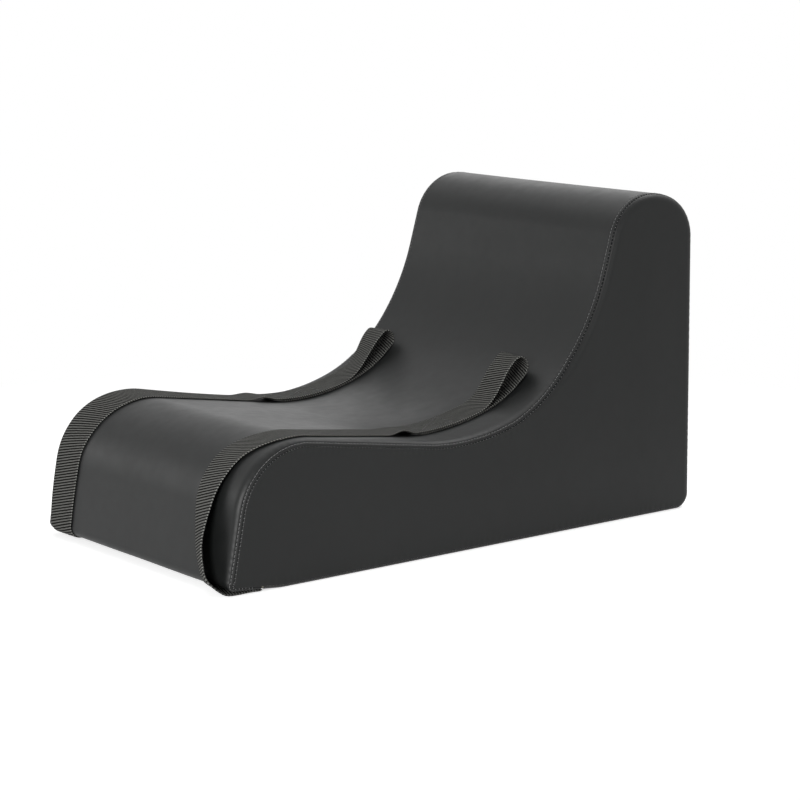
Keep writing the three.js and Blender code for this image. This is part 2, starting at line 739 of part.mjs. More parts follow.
// The arch on the slider's front wing, with the eye that the pull hangs in
function sliderArch() {
  const r = slider.cornerRadius;
  const foot = slider.archSpan / 2;
  const top = slider.archHeight;
  const arch = new THREE.Shape();
  arch.moveTo(-foot, -slider.wing / 2);
  arch.lineTo(foot, -slider.wing / 2);
  arch.lineTo(foot, top - r);
  arch.lineTo(foot - r, top);
  arch.lineTo(r - foot, top);
  arch.lineTo(-foot, top - r);
  const body = new THREE.ExtrudeGeometry(arch, { depth: slider.archWidth, bevelEnabled: false })
    .translate(0, 0, -slider.archWidth / 2)
    .applyMatrix4(new THREE.Matrix4().makeBasis(
      new THREE.Vector3(0, 1, 0), new THREE.Vector3(1, 0, 0), new THREE.Vector3(0, 0, -1)))
    .translate(wingFace, 0, 0);
  const inside = foot - slider.archWall;
  const eye = boxBetween(
    [wingFace, -inside, -slider.archWidth], [wingFace + top - slider.archWall, inside, slider.archWidth]);
  return toManifold(body).subtract(toManifold(eye));
}

// The slider: two wings round the chain, joined by flanges that leave room for the tapes and by a post ahead
// of the chain's end, with the arch on top. Its own origin is its middle, on the face of the cover.
function zipSlider() {
  const half = slider.length / 2;
  const channel = zip.chainWidth / 2 + fit;
  const reach = half - slider.cornerRadius;
  const flanges = (low, high) => [-1, 1].map((side) => boxBetween(
    [low, -reach, side * channel], [high, reach, side * (channel + slider.flange)]));
  const parts = [
    plateOnRear(wingOutline(), chainFace + fit, wingFace),
    plateOnRear(wingOutline(), wingBack, chainBack - fit),
    ...flanges(tapeFace + fit, wingFace - slider.wing / 2),
    ...flanges(wingBack + slider.wing / 2, tapeBack - fit),
    boxBetween(
      [wingBack, -half, -slider.postWidth / 2], [wingFace, slider.postLength - half, slider.postWidth / 2]),
  ];
  return fromManifold(parts.reduce((body, part) => body.add(toManifold(part)), sliderArch()));
}

// The pull: a tab whose window hangs on the slider's arch. Its own origin is the middle of its cross bar.
function zipPull() {
  const bar = pull.thickness / 2;
  const tab = new THREE.Shape();
  const tip = pull.length - bar;
  const round = pull.halfWidth / 2;
  tab.moveTo(-bar, -pull.halfWidth);
  tab.lineTo(tip - round, -pull.halfWidth);
  tab.lineTo(tip, -round);
  tab.lineTo(tip, round);
  tab.lineTo(tip - round, pull.halfWidth);
  tab.lineTo(-bar, pull.halfWidth);
  const window = new THREE.Path();
  const clear = slider.archWidth / 2 + pull.windowClearance;
  window.moveTo(bar, -clear);
  window.lineTo(bar, clear);
  window.lineTo(bar + pull.windowLength, clear);
  window.lineTo(bar + pull.windowLength, -clear);
  tab.holes.push(window);
  const hole = new THREE.Path();
  hole.absarc(tip - pull.tipHoleInset, 0, pull.tipHoleRadius, 0, rad(360), true);
  tab.holes.push(hole);
  return plateOnRear(tab, -bar, bar);
}

// Assembly

const spineCorrector = new THREE.Group();
spineCorrector.add(piece('foam_core', foamBlock(), finish.foam()));

const cover = new THREE.Group();
cover.add(piece('cover_top_panel', coverPanel(seamGap / 2, zipTop), finish.vinyl()));
cover.add(piece('cover_side_left', coverSide(-1), finish.vinyl()));
cover.add(piece('cover_side_right', coverSide(1), finish.vinyl()));

// The base panel is notched at the front seam, where the straps are sewn in. The notches are cut in a frame
// that lies on the base, with X back along it, Y to the left and Z out of it.
const seamStation = stationAt(0);
const { x: seamNormalX, y: seamNormalZ } = seamStation.normal;
const seamFrame = new THREE.Matrix4().makeBasis(
  new THREE.Vector3(-seamNormalZ, 0, seamNormalX), new THREE.Vector3(0, -1, 0),
  new THREE.Vector3(seamNormalX, 0, seamNormalZ)).setPosition(seamStation.x, 0, seamStation.z);
let basePanel = toManifold(coverPanel(zipBottom, outline.total - seamGap / 2));
for (const { side, inset } of Object.values(straps)) {
  const outer = -side * (bodyWidth / 2 - inset.anchor + fit);
  const inner = outer + side * (strapWidth + 2 * fit);
  const notch = boxBetween(
    [-overrun, outer, -overrun], [strapThickness + 2 * fit - seamGap / 2, inner, overrun]);
  basePanel = basePanel.subtract(toManifold(notch, seamFrame));
}
cover.add(piece('cover_base_panel', fromManifold(basePanel), finish.base()));
spineCorrector.add(cover);

const zipGroup = new THREE.Group();
zipGroup.applyMatrix4(zipFrame);
zipGroup.add(piece('zip_half_upper', zipHalf(1), finish.tape()));
zipGroup.add(piece('zip_half_lower', zipHalf(-1), finish.tape()));
zipGroup.add(piece('zip_bottom_stop', zipStop(), finish.metal()));
const sliderMesh = piece('zip_slider', zipSlider(), finish.metal());
sliderMesh.position.set(0, sliderStart, 0);
const pullMesh = piece('zip_pull', zipPull(), finish.metal());
pullMesh.position.set(wingFace + fit + pull.thickness * Math.SQRT1_2, sliderStart, 0);
zipGroup.add(sliderMesh, pullMesh);
spineCorrector.add(zipGroup);

for (const [name, strap] of Object.entries(straps)) {
  spineCorrector.add(piece(`strap_${name}`, strapRun(strap), finish.webbing()));
  spineCorrector.add(piece(`strap_end_${name}`, strapEnd(strap), finish.webbing()));
  spineCorrector.add(piece(`hand_loop_${name}`, handLoop(strap), finish.webbing()));
}

export default spineCorrector;
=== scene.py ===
"""Looks of the padded wedge: sewn vinyl cover, twill webbing with hand loops, and the rear zip. In metres."""

import json
import math
import random

import bpy
import numpy as np
from mathutils import Matrix, Vector, kdtree, noise
from mathutils.geometry import delaunay_2d_cdt

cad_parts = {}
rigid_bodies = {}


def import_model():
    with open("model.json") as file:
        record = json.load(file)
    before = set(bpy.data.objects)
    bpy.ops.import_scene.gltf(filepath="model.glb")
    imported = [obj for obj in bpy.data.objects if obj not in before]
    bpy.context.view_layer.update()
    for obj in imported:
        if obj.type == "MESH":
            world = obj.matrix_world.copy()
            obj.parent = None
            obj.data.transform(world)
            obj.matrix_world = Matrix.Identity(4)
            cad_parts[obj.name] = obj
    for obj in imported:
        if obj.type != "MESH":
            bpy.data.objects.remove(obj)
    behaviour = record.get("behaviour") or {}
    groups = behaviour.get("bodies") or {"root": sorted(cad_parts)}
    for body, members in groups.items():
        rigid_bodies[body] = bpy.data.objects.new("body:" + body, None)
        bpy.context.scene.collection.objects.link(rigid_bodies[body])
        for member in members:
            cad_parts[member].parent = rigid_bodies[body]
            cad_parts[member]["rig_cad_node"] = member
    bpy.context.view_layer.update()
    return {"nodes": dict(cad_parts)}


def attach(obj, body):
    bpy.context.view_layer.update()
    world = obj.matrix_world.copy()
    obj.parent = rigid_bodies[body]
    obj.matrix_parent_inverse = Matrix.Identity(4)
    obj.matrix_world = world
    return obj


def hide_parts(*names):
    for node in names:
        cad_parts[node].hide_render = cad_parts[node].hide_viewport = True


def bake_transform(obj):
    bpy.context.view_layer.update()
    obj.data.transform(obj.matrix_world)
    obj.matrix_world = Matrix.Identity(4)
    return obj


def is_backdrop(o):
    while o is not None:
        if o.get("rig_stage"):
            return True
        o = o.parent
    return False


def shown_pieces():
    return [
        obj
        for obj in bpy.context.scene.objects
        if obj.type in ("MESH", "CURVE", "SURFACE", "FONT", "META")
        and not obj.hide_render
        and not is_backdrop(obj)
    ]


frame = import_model()
MM = 0.001
rad = math.radians
random.seed(7)

# Body: overall size and side outline, as in the frame
LENGTH, WIDTH, HEIGHT = 0.830, 0.450, 0.470
BASE_HEADING, FRONT_HEADING, SEAT_HEADING = rad(180), rad(80), rad(-8.7)
BACK_HEADING, REAR_HEADING = rad(73.7), rad(-89.3)
FOOT_RADIUS, FOOT_RISE, FOOT_SETBACK, UNDERSIDE_RADIUS = 0.012, 0.007, 0.085, 0.150
NOSE_HEIGHT, NOSE_RADIUS = 0.193, 0.104
SEAT_RADII, SEAT_TURNS = (0.340, 0.233, 0.328), (rad(18), rad(50))
CREST_RADII, CREST_TURNS = (0.076, 0.115, 0.064), (rad(3), rad(-22))
REAR_FOOT_RADIUS = 0.024
EDGE, FOOT_EDGE, BASE_EDGE = 0.012, 0.010, 0.007
NOSE_SEAM, SEAT_SEAM, BACK_SEAM, CREST_SEAM, BASE_SEAM = rad(84), rad(78), rad(32), rad(20), rad(60)
FRONT_SEAM = 0.053
SKIN, FIT = 0.0015, 0.0003
PANEL_THICK, SEAM_GAP = 1.0 * MM, 0.0004
FOAM_STEP, FOAM_BENDS = 0.006, 7

# Relief of the cover: the turned-in seam, the welt beside it, the gathers along it and the broad waves
SEAM_DEPTH, SEAM_OPENS, SEAM_SPREAD = 1.7, 0.5, 0.9 * MM
END_DEPTH, END_SPREAD = 0.7 * MM, 1.2 * MM
WELT_RISE, SUNK_LEAST, SUNK_MORE, SUNK_SPREAD = 0.30 * MM, 0.25, 0.75, 0.75 * MM
TOP_GATHER, SIDE_GATHER, GATHER_PITCH = 0.13 * MM, 0.10 * MM, 0.0105
TOP_WAVE, TOP_WAVE_SIZE, SIDE_WAVE_SIZE = 0.5 * MM, 0.11, 0.16
WAVE_FROM, WAVE_TO, WAVE_LEVEL = 12 * MM, 60 * MM, 0.25
SIDE_CROWN, SIDE_WAVE, CROWN_FROM, CROWN_TO = 0.9, 0.7, 0.012, 0.10
EDGE_COLUMNS = [v * MM for v in (
    0, 0.5, 1.0, 1.6, 2.3, 3.1, 3.9, 4.4, 4.8, 5.2, 5.6, 6.0, 6.6, 7.6, 9, 11, 13.5, 17, 21, 26, 32, 40)]
SIDE_COLUMNS = np.array([0, 0.5, 1.0, 1.6, 2.4, 3.4, 4.6, 6.0, 8.0, 10.5, 13.5, 17.5]) * MM
MIDDLE_COLUMNS = 14
SIDE_GRID, RING_ROOM = 0.011, 0.004
FOOT_ROOM, REAR_ROOM, ROOM_GROWS = (0.0012, 0.020), (0.006, 0.030), 0.55
OUTLINE_STEP, BASE_STEP, BASE_ROLL = 0.002, 0.004, 0.3

# Straps
STRAP_WIDTH, STRAP_THICK = 0.050, 0.0025
FOLDED_END_X, HINGE_X = -0.060, 0.022
FOLD_REACH, FOLD_LEVEL, RISE_BACK = 0.058, 0.014, 0.008
KNEE_Z, LOW_Z, HIGH_Z, SHOULDER = 0.022, 0.062, 0.118, rad(45)

# Each strap, in millimetres. The inset of its outer edge and that edge's slack are given at the foot, knee,
# low and high places on the front, at the shoulder and on the nose, with the inset's seat value last. The
# inner edge lies on the cover. The rise is how far the outer and inner edges stand up where the strap climbs
# over its own folded end, and a loop is its opening's height, where it starts to open, where it is full, and
# its tip.
STRAPS = {
    "left": {
        "side": -1, "anchor": 4, "hinge": 62,
        "inset": (9, 18, 37, 43.4, 40, 12, 36),
        "outer_slack": (8.6, 23.2, 22.2, 9.4, 2.6, 0.4),
        "rise": (5.5, 0.5), "outer_loop": (27, 60, 135, 156), "inner_loop": (20, 74, 136, 160),
    },
    "right": {
        "side": 1, "anchor": 16, "hinge": 29,
        "inset": (17, 16, 15, 17, 26, 34, 31),
        "outer_slack": (0.6, 2.4, 4.9, 6.4, 10.4, 4.4),
        "rise": (3, 4), "outer_loop": (16, 98, 147, 159), "inner_loop": (23, 56, 139, 158),
    },
}
TIP_LIFT, TIP_LIFT_REACH = 0.003, 0.070
RIB_PITCH, RIB_SLANT, YARN_PITCH = 0.0040, rad(15), 0.00115
SLIT_ROOM, SLIT_REACH, SLIT_BACK = 0.001, 0.03, 0.0035
LEG_STEPS, BEND_STEPS, EASE_TURNS = 70, 26, 6
BAND_COLUMNS = [-1, -0.96, -0.86, -0.7, -0.5, -0.25, 0, 0.25, 0.5, 0.7, 0.86, 0.96, 1]
BAND_HALF, EDGE_THIN, NEAR_EDGE_THIN = STRAP_THICK / 2 - 0.1 * MM, 0.62, 0.93
SCALLOP, EDGE_SET = 0.28 * MM, 0.55 * MM
BLEND_FROM, BLEND_TO = HINGE_X - 0.010, HINGE_X + 0.022
BOX_MARGIN, BOX_PITCH, BOX_STITCH = 0.006, 0.0036, 0.0026
BOX_FROM_FOLD, BOX_FROM_HINGE = 0.008, 0.010
FIBRES, FIBRE_SIZES = 170, (0.11, 0.10, 0.04)

# Zip
ZIP_Z, ZIP_GAP = 0.052, 0.017
TAPE_REACH, TAPE_THICK = 0.0154, 0.0008
TAPE_STEP, TAPE_RIPPLE = 0.003, 0.06 * MM
TAPE_CORD, TAPE_PLACES = (0, 0.0006, 0.0014, 0.0020), (0.007, 0.0085, 0.011)
CORD_RISES = (0.25, 0.55, 0.35, 0.0, 0.0, 0.0, 0.0, 0.0)
TOOTH_PITCH, TOOTH_WIDTH, TOOTH_REACH = 0.0052, 0.0023, 0.0019
TOOTH_OUTLINE = [(-0.0019, 0.55), (-0.0015, 0.86), (-0.0007, 0.98), (0.0002, 0.80),
                 (0.0012, 0.78), (0.0022, 1.0), (0.0040, 1.0), (0.00475, 0.7)]
TOOTH_LAYERS = [(-0.0009, 0.80), (-0.00115, 1.0), (-0.00325, 1.0), (-0.0035, 0.80)]
ZIP_END = WIDTH / 2 - EDGE - 0.0004
TEETH_START, TEETH_END = -0.1944, 0.2057
TAPE_ROOM, SLIDER_ROOM, ROOM_OUT = 0.0031, 0.0057, 0.002
SLIDER_FROM, SLIDER_TO, SLIDER_HALF = -0.201, 0.2113, 0.0081
STRIP_FACE, STRIP_BACK, STRIP_END = -0.0020, -0.0026, -0.2013
TAB_OVERLAP, TAB_REACH, TAB_DEPTH, TAB_THICK = 2 * MM, (0.2 * MM, 8.5 * MM), 1.1 * MM, 0.5 * MM
TAB_CELLS, ZIP_SEWN = 12, 3.5 * MM

# Sewing: distance of the topstitching from the seam, and one stitch
WELT = 0.0052
STITCH_PITCH, STITCH_LENGTH, THREAD = 0.0052, 0.0036, 0.0008
SEWN_STEP, GATHER_SEED = STITCH_PITCH / 4, 1.7
THREAD_SIDES, THREAD_BENDS = 5, (-0.5, -0.38, -0.16, 0.16, 0.38, 0.5)
SEAM_THREAD, SEAM_REACH, SEAM_SUNK = 1.7 * MM, 0.5 * MM, 0.55 * MM


# Outline

def along(angle):
    return np.array([math.cos(angle), math.sin(angle)])


def outward(angle):
    return np.array([-math.sin(angle), math.cos(angle)])


def arc_run(start, arcs):
    """Tangent arcs one after the other, each (radius, heading at its end, edge rounding, seam angle)."""
    at, angle, parts = np.zeros(2), start, []
    for radius, until, rounding, seam in arcs:
        bulge = radius if until < angle else -radius
        centre = at - bulge * outward(angle)
        parts.append({"centre": centre, "bulge": bulge, "from": angle, "until": until,
                      "round": rounding, "seam": seam})
        at, angle = centre + bulge * outward(until), until
    return parts, at


def placed(parts, start):
    return [{**part, "centre": part["centre"] + start} for part in parts]


def corner_between(before, after, run):
    """Sets a run of arcs between two straight lines, each a point and a heading."""
    parts, span = run
    d, e = along(before[1]), along(after[1])
    gap = after[0] - before[0] - span
    reach = (gap[0] * e[1] - gap[1] * e[0]) / (d[0] * e[1] - d[1] * e[0])
    return placed(parts, before[0] + d * reach)


def centre_inside(line, radius, x=None, z=None):
    point, n = line[0], outward(line[1])
    if x is not None:
        return np.array([x, point[1] - (radius + n[0] * (x - point[0])) / n[1]])
    return np.array([point[0] - (radius + n[1] * (z - point[1])) / n[0], z])


def outline_arcs():
    half = LENGTH / 2
    plain, rear_seam = (EDGE, EDGE), (CREST_SEAM, CREST_SEAM)
    rise = BASE_HEADING - math.atan2(FOOT_RISE, FOOT_SETBACK - FOOT_RADIUS)
    base = (np.zeros(2), BASE_HEADING)
    underside = (np.array([FOOT_SETBACK - half, 0.0]), rise)
    foot_centre = centre_inside(underside, FOOT_RADIUS, x=FOOT_RADIUS - half)
    front = (foot_centre + FOOT_RADIUS * outward(FRONT_HEADING), FRONT_HEADING)
    nose_centre = centre_inside(front, NOSE_RADIUS, z=NOSE_HEIGHT - NOSE_RADIUS)
    seat = (nose_centre + NOSE_RADIUS * outward(SEAT_HEADING), SEAT_HEADING)
    rear_centre = np.array([half - REAR_FOOT_RADIUS, REAR_FOOT_RADIUS])
    rear = (rear_centre + REAR_FOOT_RADIUS * outward(REAR_HEADING), REAR_HEADING)

    crest_parts, crest_span = arc_run(BACK_HEADING, [
        (CREST_RADII[0], CREST_TURNS[0], plain, (BACK_SEAM, CREST_SEAM)),
        (CREST_RADII[1], CREST_TURNS[1], plain, rear_seam),
        (CREST_RADII[2], REAR_HEADING, plain, rear_seam)])
    start = np.array([0.0, HEIGHT - crest_parts[1]["centre"][1] - CREST_RADII[1]])
    n, end = outward(REAR_HEADING), start + crest_span - rear[0]
    start[0] = -(n[1] * end[1] + n[0] * end[0]) / n[0]
    back = (start, BACK_HEADING)

    under = corner_between(base, underside, arc_run(BASE_HEADING, [
        (UNDERSIDE_RADIUS, rise, (BASE_EDGE, BASE_EDGE), (BASE_SEAM, BASE_SEAM))]))
    foot = corner_between(underside, front, arc_run(rise, [
        (FOOT_RADIUS, FRONT_HEADING, (BASE_EDGE, FOOT_EDGE), (BASE_SEAM, NOSE_SEAM))]))
    nose = corner_between(front, seat, arc_run(FRONT_HEADING, [
        (NOSE_RADIUS, SEAT_HEADING, plain, (NOSE_SEAM, NOSE_SEAM))]))
    bend = corner_between(seat, back, arc_run(SEAT_HEADING, [
        (SEAT_RADII[0], SEAT_TURNS[0], plain, (SEAT_SEAM, SEAT_SEAM)),
        (SEAT_RADII[1], SEAT_TURNS[1], plain, (SEAT_SEAM, BACK_SEAM)),
        (SEAT_RADII[2], BACK_HEADING, plain, (BACK_SEAM, BACK_SEAM))]))
    round_again = BASE_HEADING - rad(360)
    rear_foot = corner_between(rear, (base[0], round_again), arc_run(REAR_HEADING, [
        (REAR_FOOT_RADIUS, round_again, (EDGE, BASE_EDGE), (CREST_SEAM, BASE_SEAM))]))
    seam_x = FRONT_SEAM - half
    seam = np.array([seam_x, -math.tan(rise) * (underside[0][0] - seam_x)])
    return seam, rise, foot + nose + bend + placed(crest_parts, start) + rear_foot + under


def make_outline():
    """Columns x, z, nx, nz, edge rounding and seam angle all round, from the front seam under the foot."""
    seam, rise, arcs = outline_arcs()
    rows = [[*seam, *outward(rise), BASE_EDGE, BASE_SEAM]]
    for arc in arcs:
        steps = math.ceil(abs(arc["until"] - arc["from"]) / rad(0.5))
        for share in np.linspace(0, 1, steps + 1):
            n = outward(arc["from"] + (arc["until"] - arc["from"]) * share)
            p = arc["centre"] + arc["bulge"] * n
            mix = [a + (b - a) * share for a, b in (arc["round"], arc["seam"])]
            rows.append([*p, *n, *mix])
    rows.append(rows[0])
    table = np.array(rows)
    step = np.hypot(*np.diff(table[:, :2], axis=0).T)
    keep = np.concatenate([[True], step > 1e-6])
    table = table[keep]
    s = np.concatenate([[0], np.cumsum(np.hypot(*np.diff(table[:, :2], axis=0).T))])
    return s, table


OUT_S, OUT = make_outline()
TOTAL = OUT_S[-1]


def station(s):
    """x, z, nx, nz, edge rounding and seam angle at distances s round the outline."""
    wrapped = np.mod(np.asarray(s, float), TOTAL)
    cols = [np.interp(wrapped, OUT_S, OUT[:, k]) for k in range(6)]
    length = np.hypot(cols[2], cols[3])
    cols[2], cols[3] = cols[2] / length, cols[3] / length
    return cols


def first(start, test):
    """The first distance past start where test(x, z, nx, nz) holds."""
    fine = np.arange(start, TOTAL, 0.0001)
    x, z, nx, nz, _, _ = station(fine)
    return float(fine[int(np.argmax(test(x, z, nx, nz)))])


NOSE_S = first(0, lambda x, z, nx, nz: nx > 0)
CREST_S = first(0, lambda x, z, nx, nz: nx > 0.35)


def seat_s(x_at):
    return first(NOSE_S, lambda x, z, nx, nz: x > x_at)


def front_s(z_at):
    return first(0, lambda x, z, nx, nz: z > z_at)


def rear_s(z_at):
    return first(CREST_S, lambda x, z, nx, nz: z < z_at)


ZIP_TOP, ZIP_BOTTOM = rear_s(ZIP_Z + ZIP_GAP / 2), rear_s(ZIP_Z - ZIP_GAP / 2)


# Meshes

def linked(name, data):
    """A new object in the scene."""
    obj = bpy.data.objects.new(name, data)
    bpy.context.scene.collection.objects.link(obj)
    return obj


def piece(name, points, faces, mats, body="body", uv=None, face_mats=None):
    """A smooth mesh object in the row frame that rides on a body."""
    mesh = bpy.data.meshes.new(name)
    mesh.from_pydata([tuple(p) for p in points], [], [tuple(f) for f in faces])
    if uv is not None:
        layer = mesh.uv_layers.new(name="UVMap")
        index = np.zeros(len(mesh.loops), int)
        mesh.loops.foreach_get("vertex_index", index)
        layer.data.foreach_set("uv", np.asarray(uv, np.float32)[index].ravel())
    for mat in mats:
        mesh.materials.append(mat)
    if face_mats is not None:
        mesh.polygons.foreach_set("material_index", np.asarray(face_mats, np.int32))
    mesh.polygons.foreach_set("use_smooth", [True] * len(mesh.polygons))
    mesh.validate()
    mesh.update()
    obj = linked(name, mesh)
    if body:
        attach(obj, body)
    return obj


def grid_faces(rows, cols, close=False, flip=False, offset=0):
    """Quads of a grid of points, closed across its columns where asked."""
    faces = []
    for i in range(rows - 1):
        for k in range(cols if close else cols - 1):
            n = (k + 1) % cols
            quad = [i * cols + k, (i + 1) * cols + k, (i + 1) * cols + n, i * cols + n]
            faces.append([offset + v for v in (quad[::-1] if flip else quad)])
    return faces


def belt_faces(count, cols, flip=False):
    """Quads of a belt of points whose last row joins its first."""
    faces = []
    for i in range(count):
        n = (i + 1) % count
        for k in range(cols - 1):
            quad = [i * cols + k, n * cols + k, n * cols + k + 1, i * cols + k + 1]
            faces.append(quad[::-1] if flip else quad)
    return faces


def thicken(obj, depth):
    """Gives a panel its thickness, inwards."""
    solid = obj.modifiers.new("thickness", "SOLIDIFY")
    solid.thickness = depth
    solid.offset = -1
    solid.use_even_offset = False
    solid.use_quality_normals = True


def rough(points, size, seed=0.0):
    shift = Vector((seed, 2.3 * seed, -seed))
    return np.array([noise.noise(Vector(p) / size + shift) for p in points])


def smooth_step(x, low, high):
    t = np.clip((np.asarray(x, float) - low) / (high - low), 0, 1)
    return t * t * (3 - 2 * t)


def window(x, from_low, from_high, to_high, to_low):
    """0, up to 1 and down to 0 again."""
    return smooth_step(x, from_low, from_high) * (1 - smooth_step(x, to_high, to_low))


def tree_of(ring):
    tree = kdtree.KDTree(len(ring))
    for i, p in enumerate(ring):
        tree.insert((*p, 0), i)
    tree.balance()
    return tree


# Cover

def round_edge(place, angle, side, lift, in_top=0.0, in_side=0.0):
    """Points round the side's edge, at an angle from the top face, or further in across top or side."""
    x, z, nx, nz, r, _ = place
    rr = r + lift
    inset = r - rr * np.cos(angle) + in_side
    y = WIDTH / 2 - r + rr * np.sin(angle) - in_top
    return np.stack([x - nx * inset, side * y, z - nz * inset], -1)


def edge_points(s, t, side, lift=0.0):
    """Points at a distance t from the side seam, round the edge and in across the top face."""
    place = station(s)
    r, seam = place[4:]
    return round_edge(place, np.maximum(seam - t / r, 0), side, lift, in_top=np.maximum(t - r * seam, 0))


def rim_points(s, t, side, lift=0.0):
    """Points at a distance t from the side seam, round the rest of the edge and in across the side."""
    place = station(s)
    r, seam = place[4:]
    flat = np.maximum(t - r * (rad(90) - seam), 0)
    return round_edge(place, np.minimum(seam + t / r, rad(90)), side, lift, in_side=flat)


def pucker(s, seed):
    """Uneven small gathers along a row of stitches."""
    s = np.asarray(s, float)
    wander = 1.1 * np.sin(s * 61 + seed) + 0.8 * np.sin(s * 23 + 2 * seed)
    return np.sin(2 * math.pi * s / GATHER_PITCH + wander) * (0.55 + 0.45 * np.sin(s * 37 + 3 * seed))


def stitch_wave(s):
    """1 where a stitch goes through the vinyl and 0 half way along it."""
    return 0.5 + 0.5 * np.cos(2 * math.pi * np.asarray(s, float) / STITCH_PITCH)


def seam_roll(s, t):
    """How the vinyl turns down into a seam, and lies more open where a stitch pulls it."""
    return -MM * (SEAM_DEPTH - SEAM_OPENS * stitch_wave(s)) * np.exp(-(t / SEAM_SPREAD) ** 2)


def top_relief(s, t):
    """The top panel's relief beside a side seam: the roll, the welt, the row of stitches and the gathers."""
    welt = WELT_RISE * window(t, 0.4 * MM, 2.0 * MM, 3.8 * MM, 5.2 * MM)
    sunk = -MM * (SUNK_LEAST + SUNK_MORE * stitch_wave(s)) * np.exp(-((t - WELT) / SUNK_SPREAD) ** 2)
    gathers = TOP_GATHER * window(t, 0.6 * MM, 4 * MM, 9 * MM, 17 * MM) * pucker(s, GATHER_SEED)
    return seam_roll(s, t) + welt + sunk + gathers


def across_columns(s, fixed):
    """Distances from the two side seams for a panel, rows by columns, and each column's side."""
    _, _, _, _, r, seam = station(s)
    half = r * seam + WIDTH / 2 - r
    left = [np.full_like(half, t) for t in fixed]
    last = fixed[-1]
    inner = [last + (half - last) * f for f in np.linspace(0, 1, MIDDLE_COLUMNS + 1)[1:]]
    left = np.stack(left + inner, -1)
    t = np.concatenate([left, left[:, -2::-1]], 1)
    side = np.concatenate([np.full(left.shape[1], -1), np.full(left.shape[1] - 1, 1)])
    return t, side


def cover_top():
    s = np.arange(SEAM_GAP, ZIP_TOP, SEWN_STEP)
    t, side = across_columns(s, EDGE_COLUMNS)
    grid_s = np.repeat(s[:, None], t.shape[1], 1)
    wave = rough(edge_points(grid_s, t, side).reshape(-1, 3), TOP_WAVE_SIZE, 3.1).reshape(t.shape)
    lift = top_relief(grid_s, t)
    lift += smooth_step(t, WAVE_FROM, WAVE_TO) * TOP_WAVE * (wave - WAVE_LEVEL)
    ends = np.minimum(grid_s, ZIP_TOP - grid_s)
    lift -= END_DEPTH * np.exp(-(ends / END_SPREAD) ** 2)
    points = edge_points(grid_s, t, side, lift)
    obj = piece("cover_top", points.reshape(-1, 3), grid_faces(len(s), t.shape[1]), [VINYL])
    thicken(obj, PANEL_THICK)
    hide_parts("cover_top_panel")


def cover_side(label, side):
    s = np.arange(0, TOTAL, SEWN_STEP)
    _, _, _, _, r, seam = station(s)
    rest = (r * (rad(90) - seam))[:, None]
    scale = np.minimum(1, corner_room(s) / (SIDE_COLUMNS[-1] - rest[:, 0]))[:, None]
    t = np.where(SIDE_COLUMNS <= rest, SIDE_COLUMNS, rest + (SIDE_COLUMNS - rest) * scale)
    grid_s = np.repeat(s[:, None], len(SIDE_COLUMNS), 1)
    gathers = window(t, 0.5 * MM, 3 * MM, 7 * MM, 14 * MM) * pucker(grid_s, 4 + side)
    strip = rim_points(grid_s, t, side, seam_roll(grid_s, t) + SIDE_GATHER * gathers)
    count, cols = t.shape
    faces = belt_faces(count, cols, flip=side < 0)
    rim = [i * cols + cols - 1 for i in range(count)]
    points = close_side(strip.reshape(-1, 3), faces, rim, side * WIDTH / 2, side)
    crown = smooth_step(distance_to_outline(points[:, [0, 2]]), CROWN_FROM, CROWN_TO)
    waves = rough(points, SIDE_WAVE_SIZE, 5.0 + side)
    points[:, 1] += side * crown * MM * (SIDE_CROWN + SIDE_WAVE * waves)
    obj = piece(f"side_{label}", points, faces, [VINYL])
    thicken(obj, PANEL_THICK)
    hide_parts(f"cover_side_{label}")


def corner_room(s):
    """How far in from the rim a side strip may reach without crossing itself at the two sharp feet."""
    room = np.full(len(s), 1.0)
    foot = front_s(FOOT_RISE + FOOT_RADIUS / 2)
    rear = rear_s(REAR_FOOT_RADIUS / 2)
    for middle, (least, reach) in ((foot, FOOT_ROOM), (rear, REAR_ROOM)):
        gap = np.abs((s - middle + TOTAL / 2) % TOTAL - TOTAL / 2)
        room = np.minimum(room, least + ROOM_GROWS * np.maximum(gap - reach, 0))
    return room


def close_side(points, faces, rim, y, side):
    """All the points once a rim is closed by a flat face at y, whose triangles are added to faces."""
    inner, triangles = fill_side(points[rim][:, [0, 2]])
    index = rim + list(range(len(points), len(points) + len(inner)))
    faces += [[index[v] for v in ((a, b, c) if side < 0 else (a, c, b))] for a, b, c in triangles]
    return np.concatenate([points, np.stack([inner[:, 0], np.full(len(inner), y), inner[:, 1]], -1)])


def fill_side(ring):
    """Points on a grid inside a ring, and the triangles between all of them."""
    tree = tree_of(ring)
    low, high = ring.min(0), ring.max(0)
    inner = []
    for j, z in enumerate(np.arange(low[1], high[1], SIDE_GRID * 0.87)):
        for x in np.arange(low[0] + (j % 2) * SIDE_GRID / 2, high[0], SIDE_GRID):
            if inside_ring(ring, x, z) and tree.find((x, z, 0))[2] > RING_ROOM:
                inner.append((x, z))
    coords = [tuple(p) for p in ring] + inner
    edges = [(i, (i + 1) % len(ring)) for i in range(len(ring))]
    made = delaunay_2d_cdt([Vector(p) for p in coords], edges, [], 1, 1e-7)
    if len(made[0]) != len(coords):
        raise RuntimeError("the side's ring crosses itself")
    return np.array(inner), made[2]


def inside_ring(ring, x, z):
    a, b = ring, np.roll(ring, -1, 0)
    cross = (a[:, 1] > z) != (b[:, 1] > z)
    rise = np.where(b[:, 1] == a[:, 1], 1, b[:, 1] - a[:, 1])
    at = a[:, 0] + (z - a[:, 1]) * (b[:, 0] - a[:, 0]) / rise
    return bool((cross & (x < at)).sum() % 2)


def distance_to_outline(xz):
    tree = tree_of(np.stack(station(np.arange(0, TOTAL, OUTLINE_STEP))[:2], -1))
    return np.array([tree.find((x, z, 0))[2] for x, z in xz])


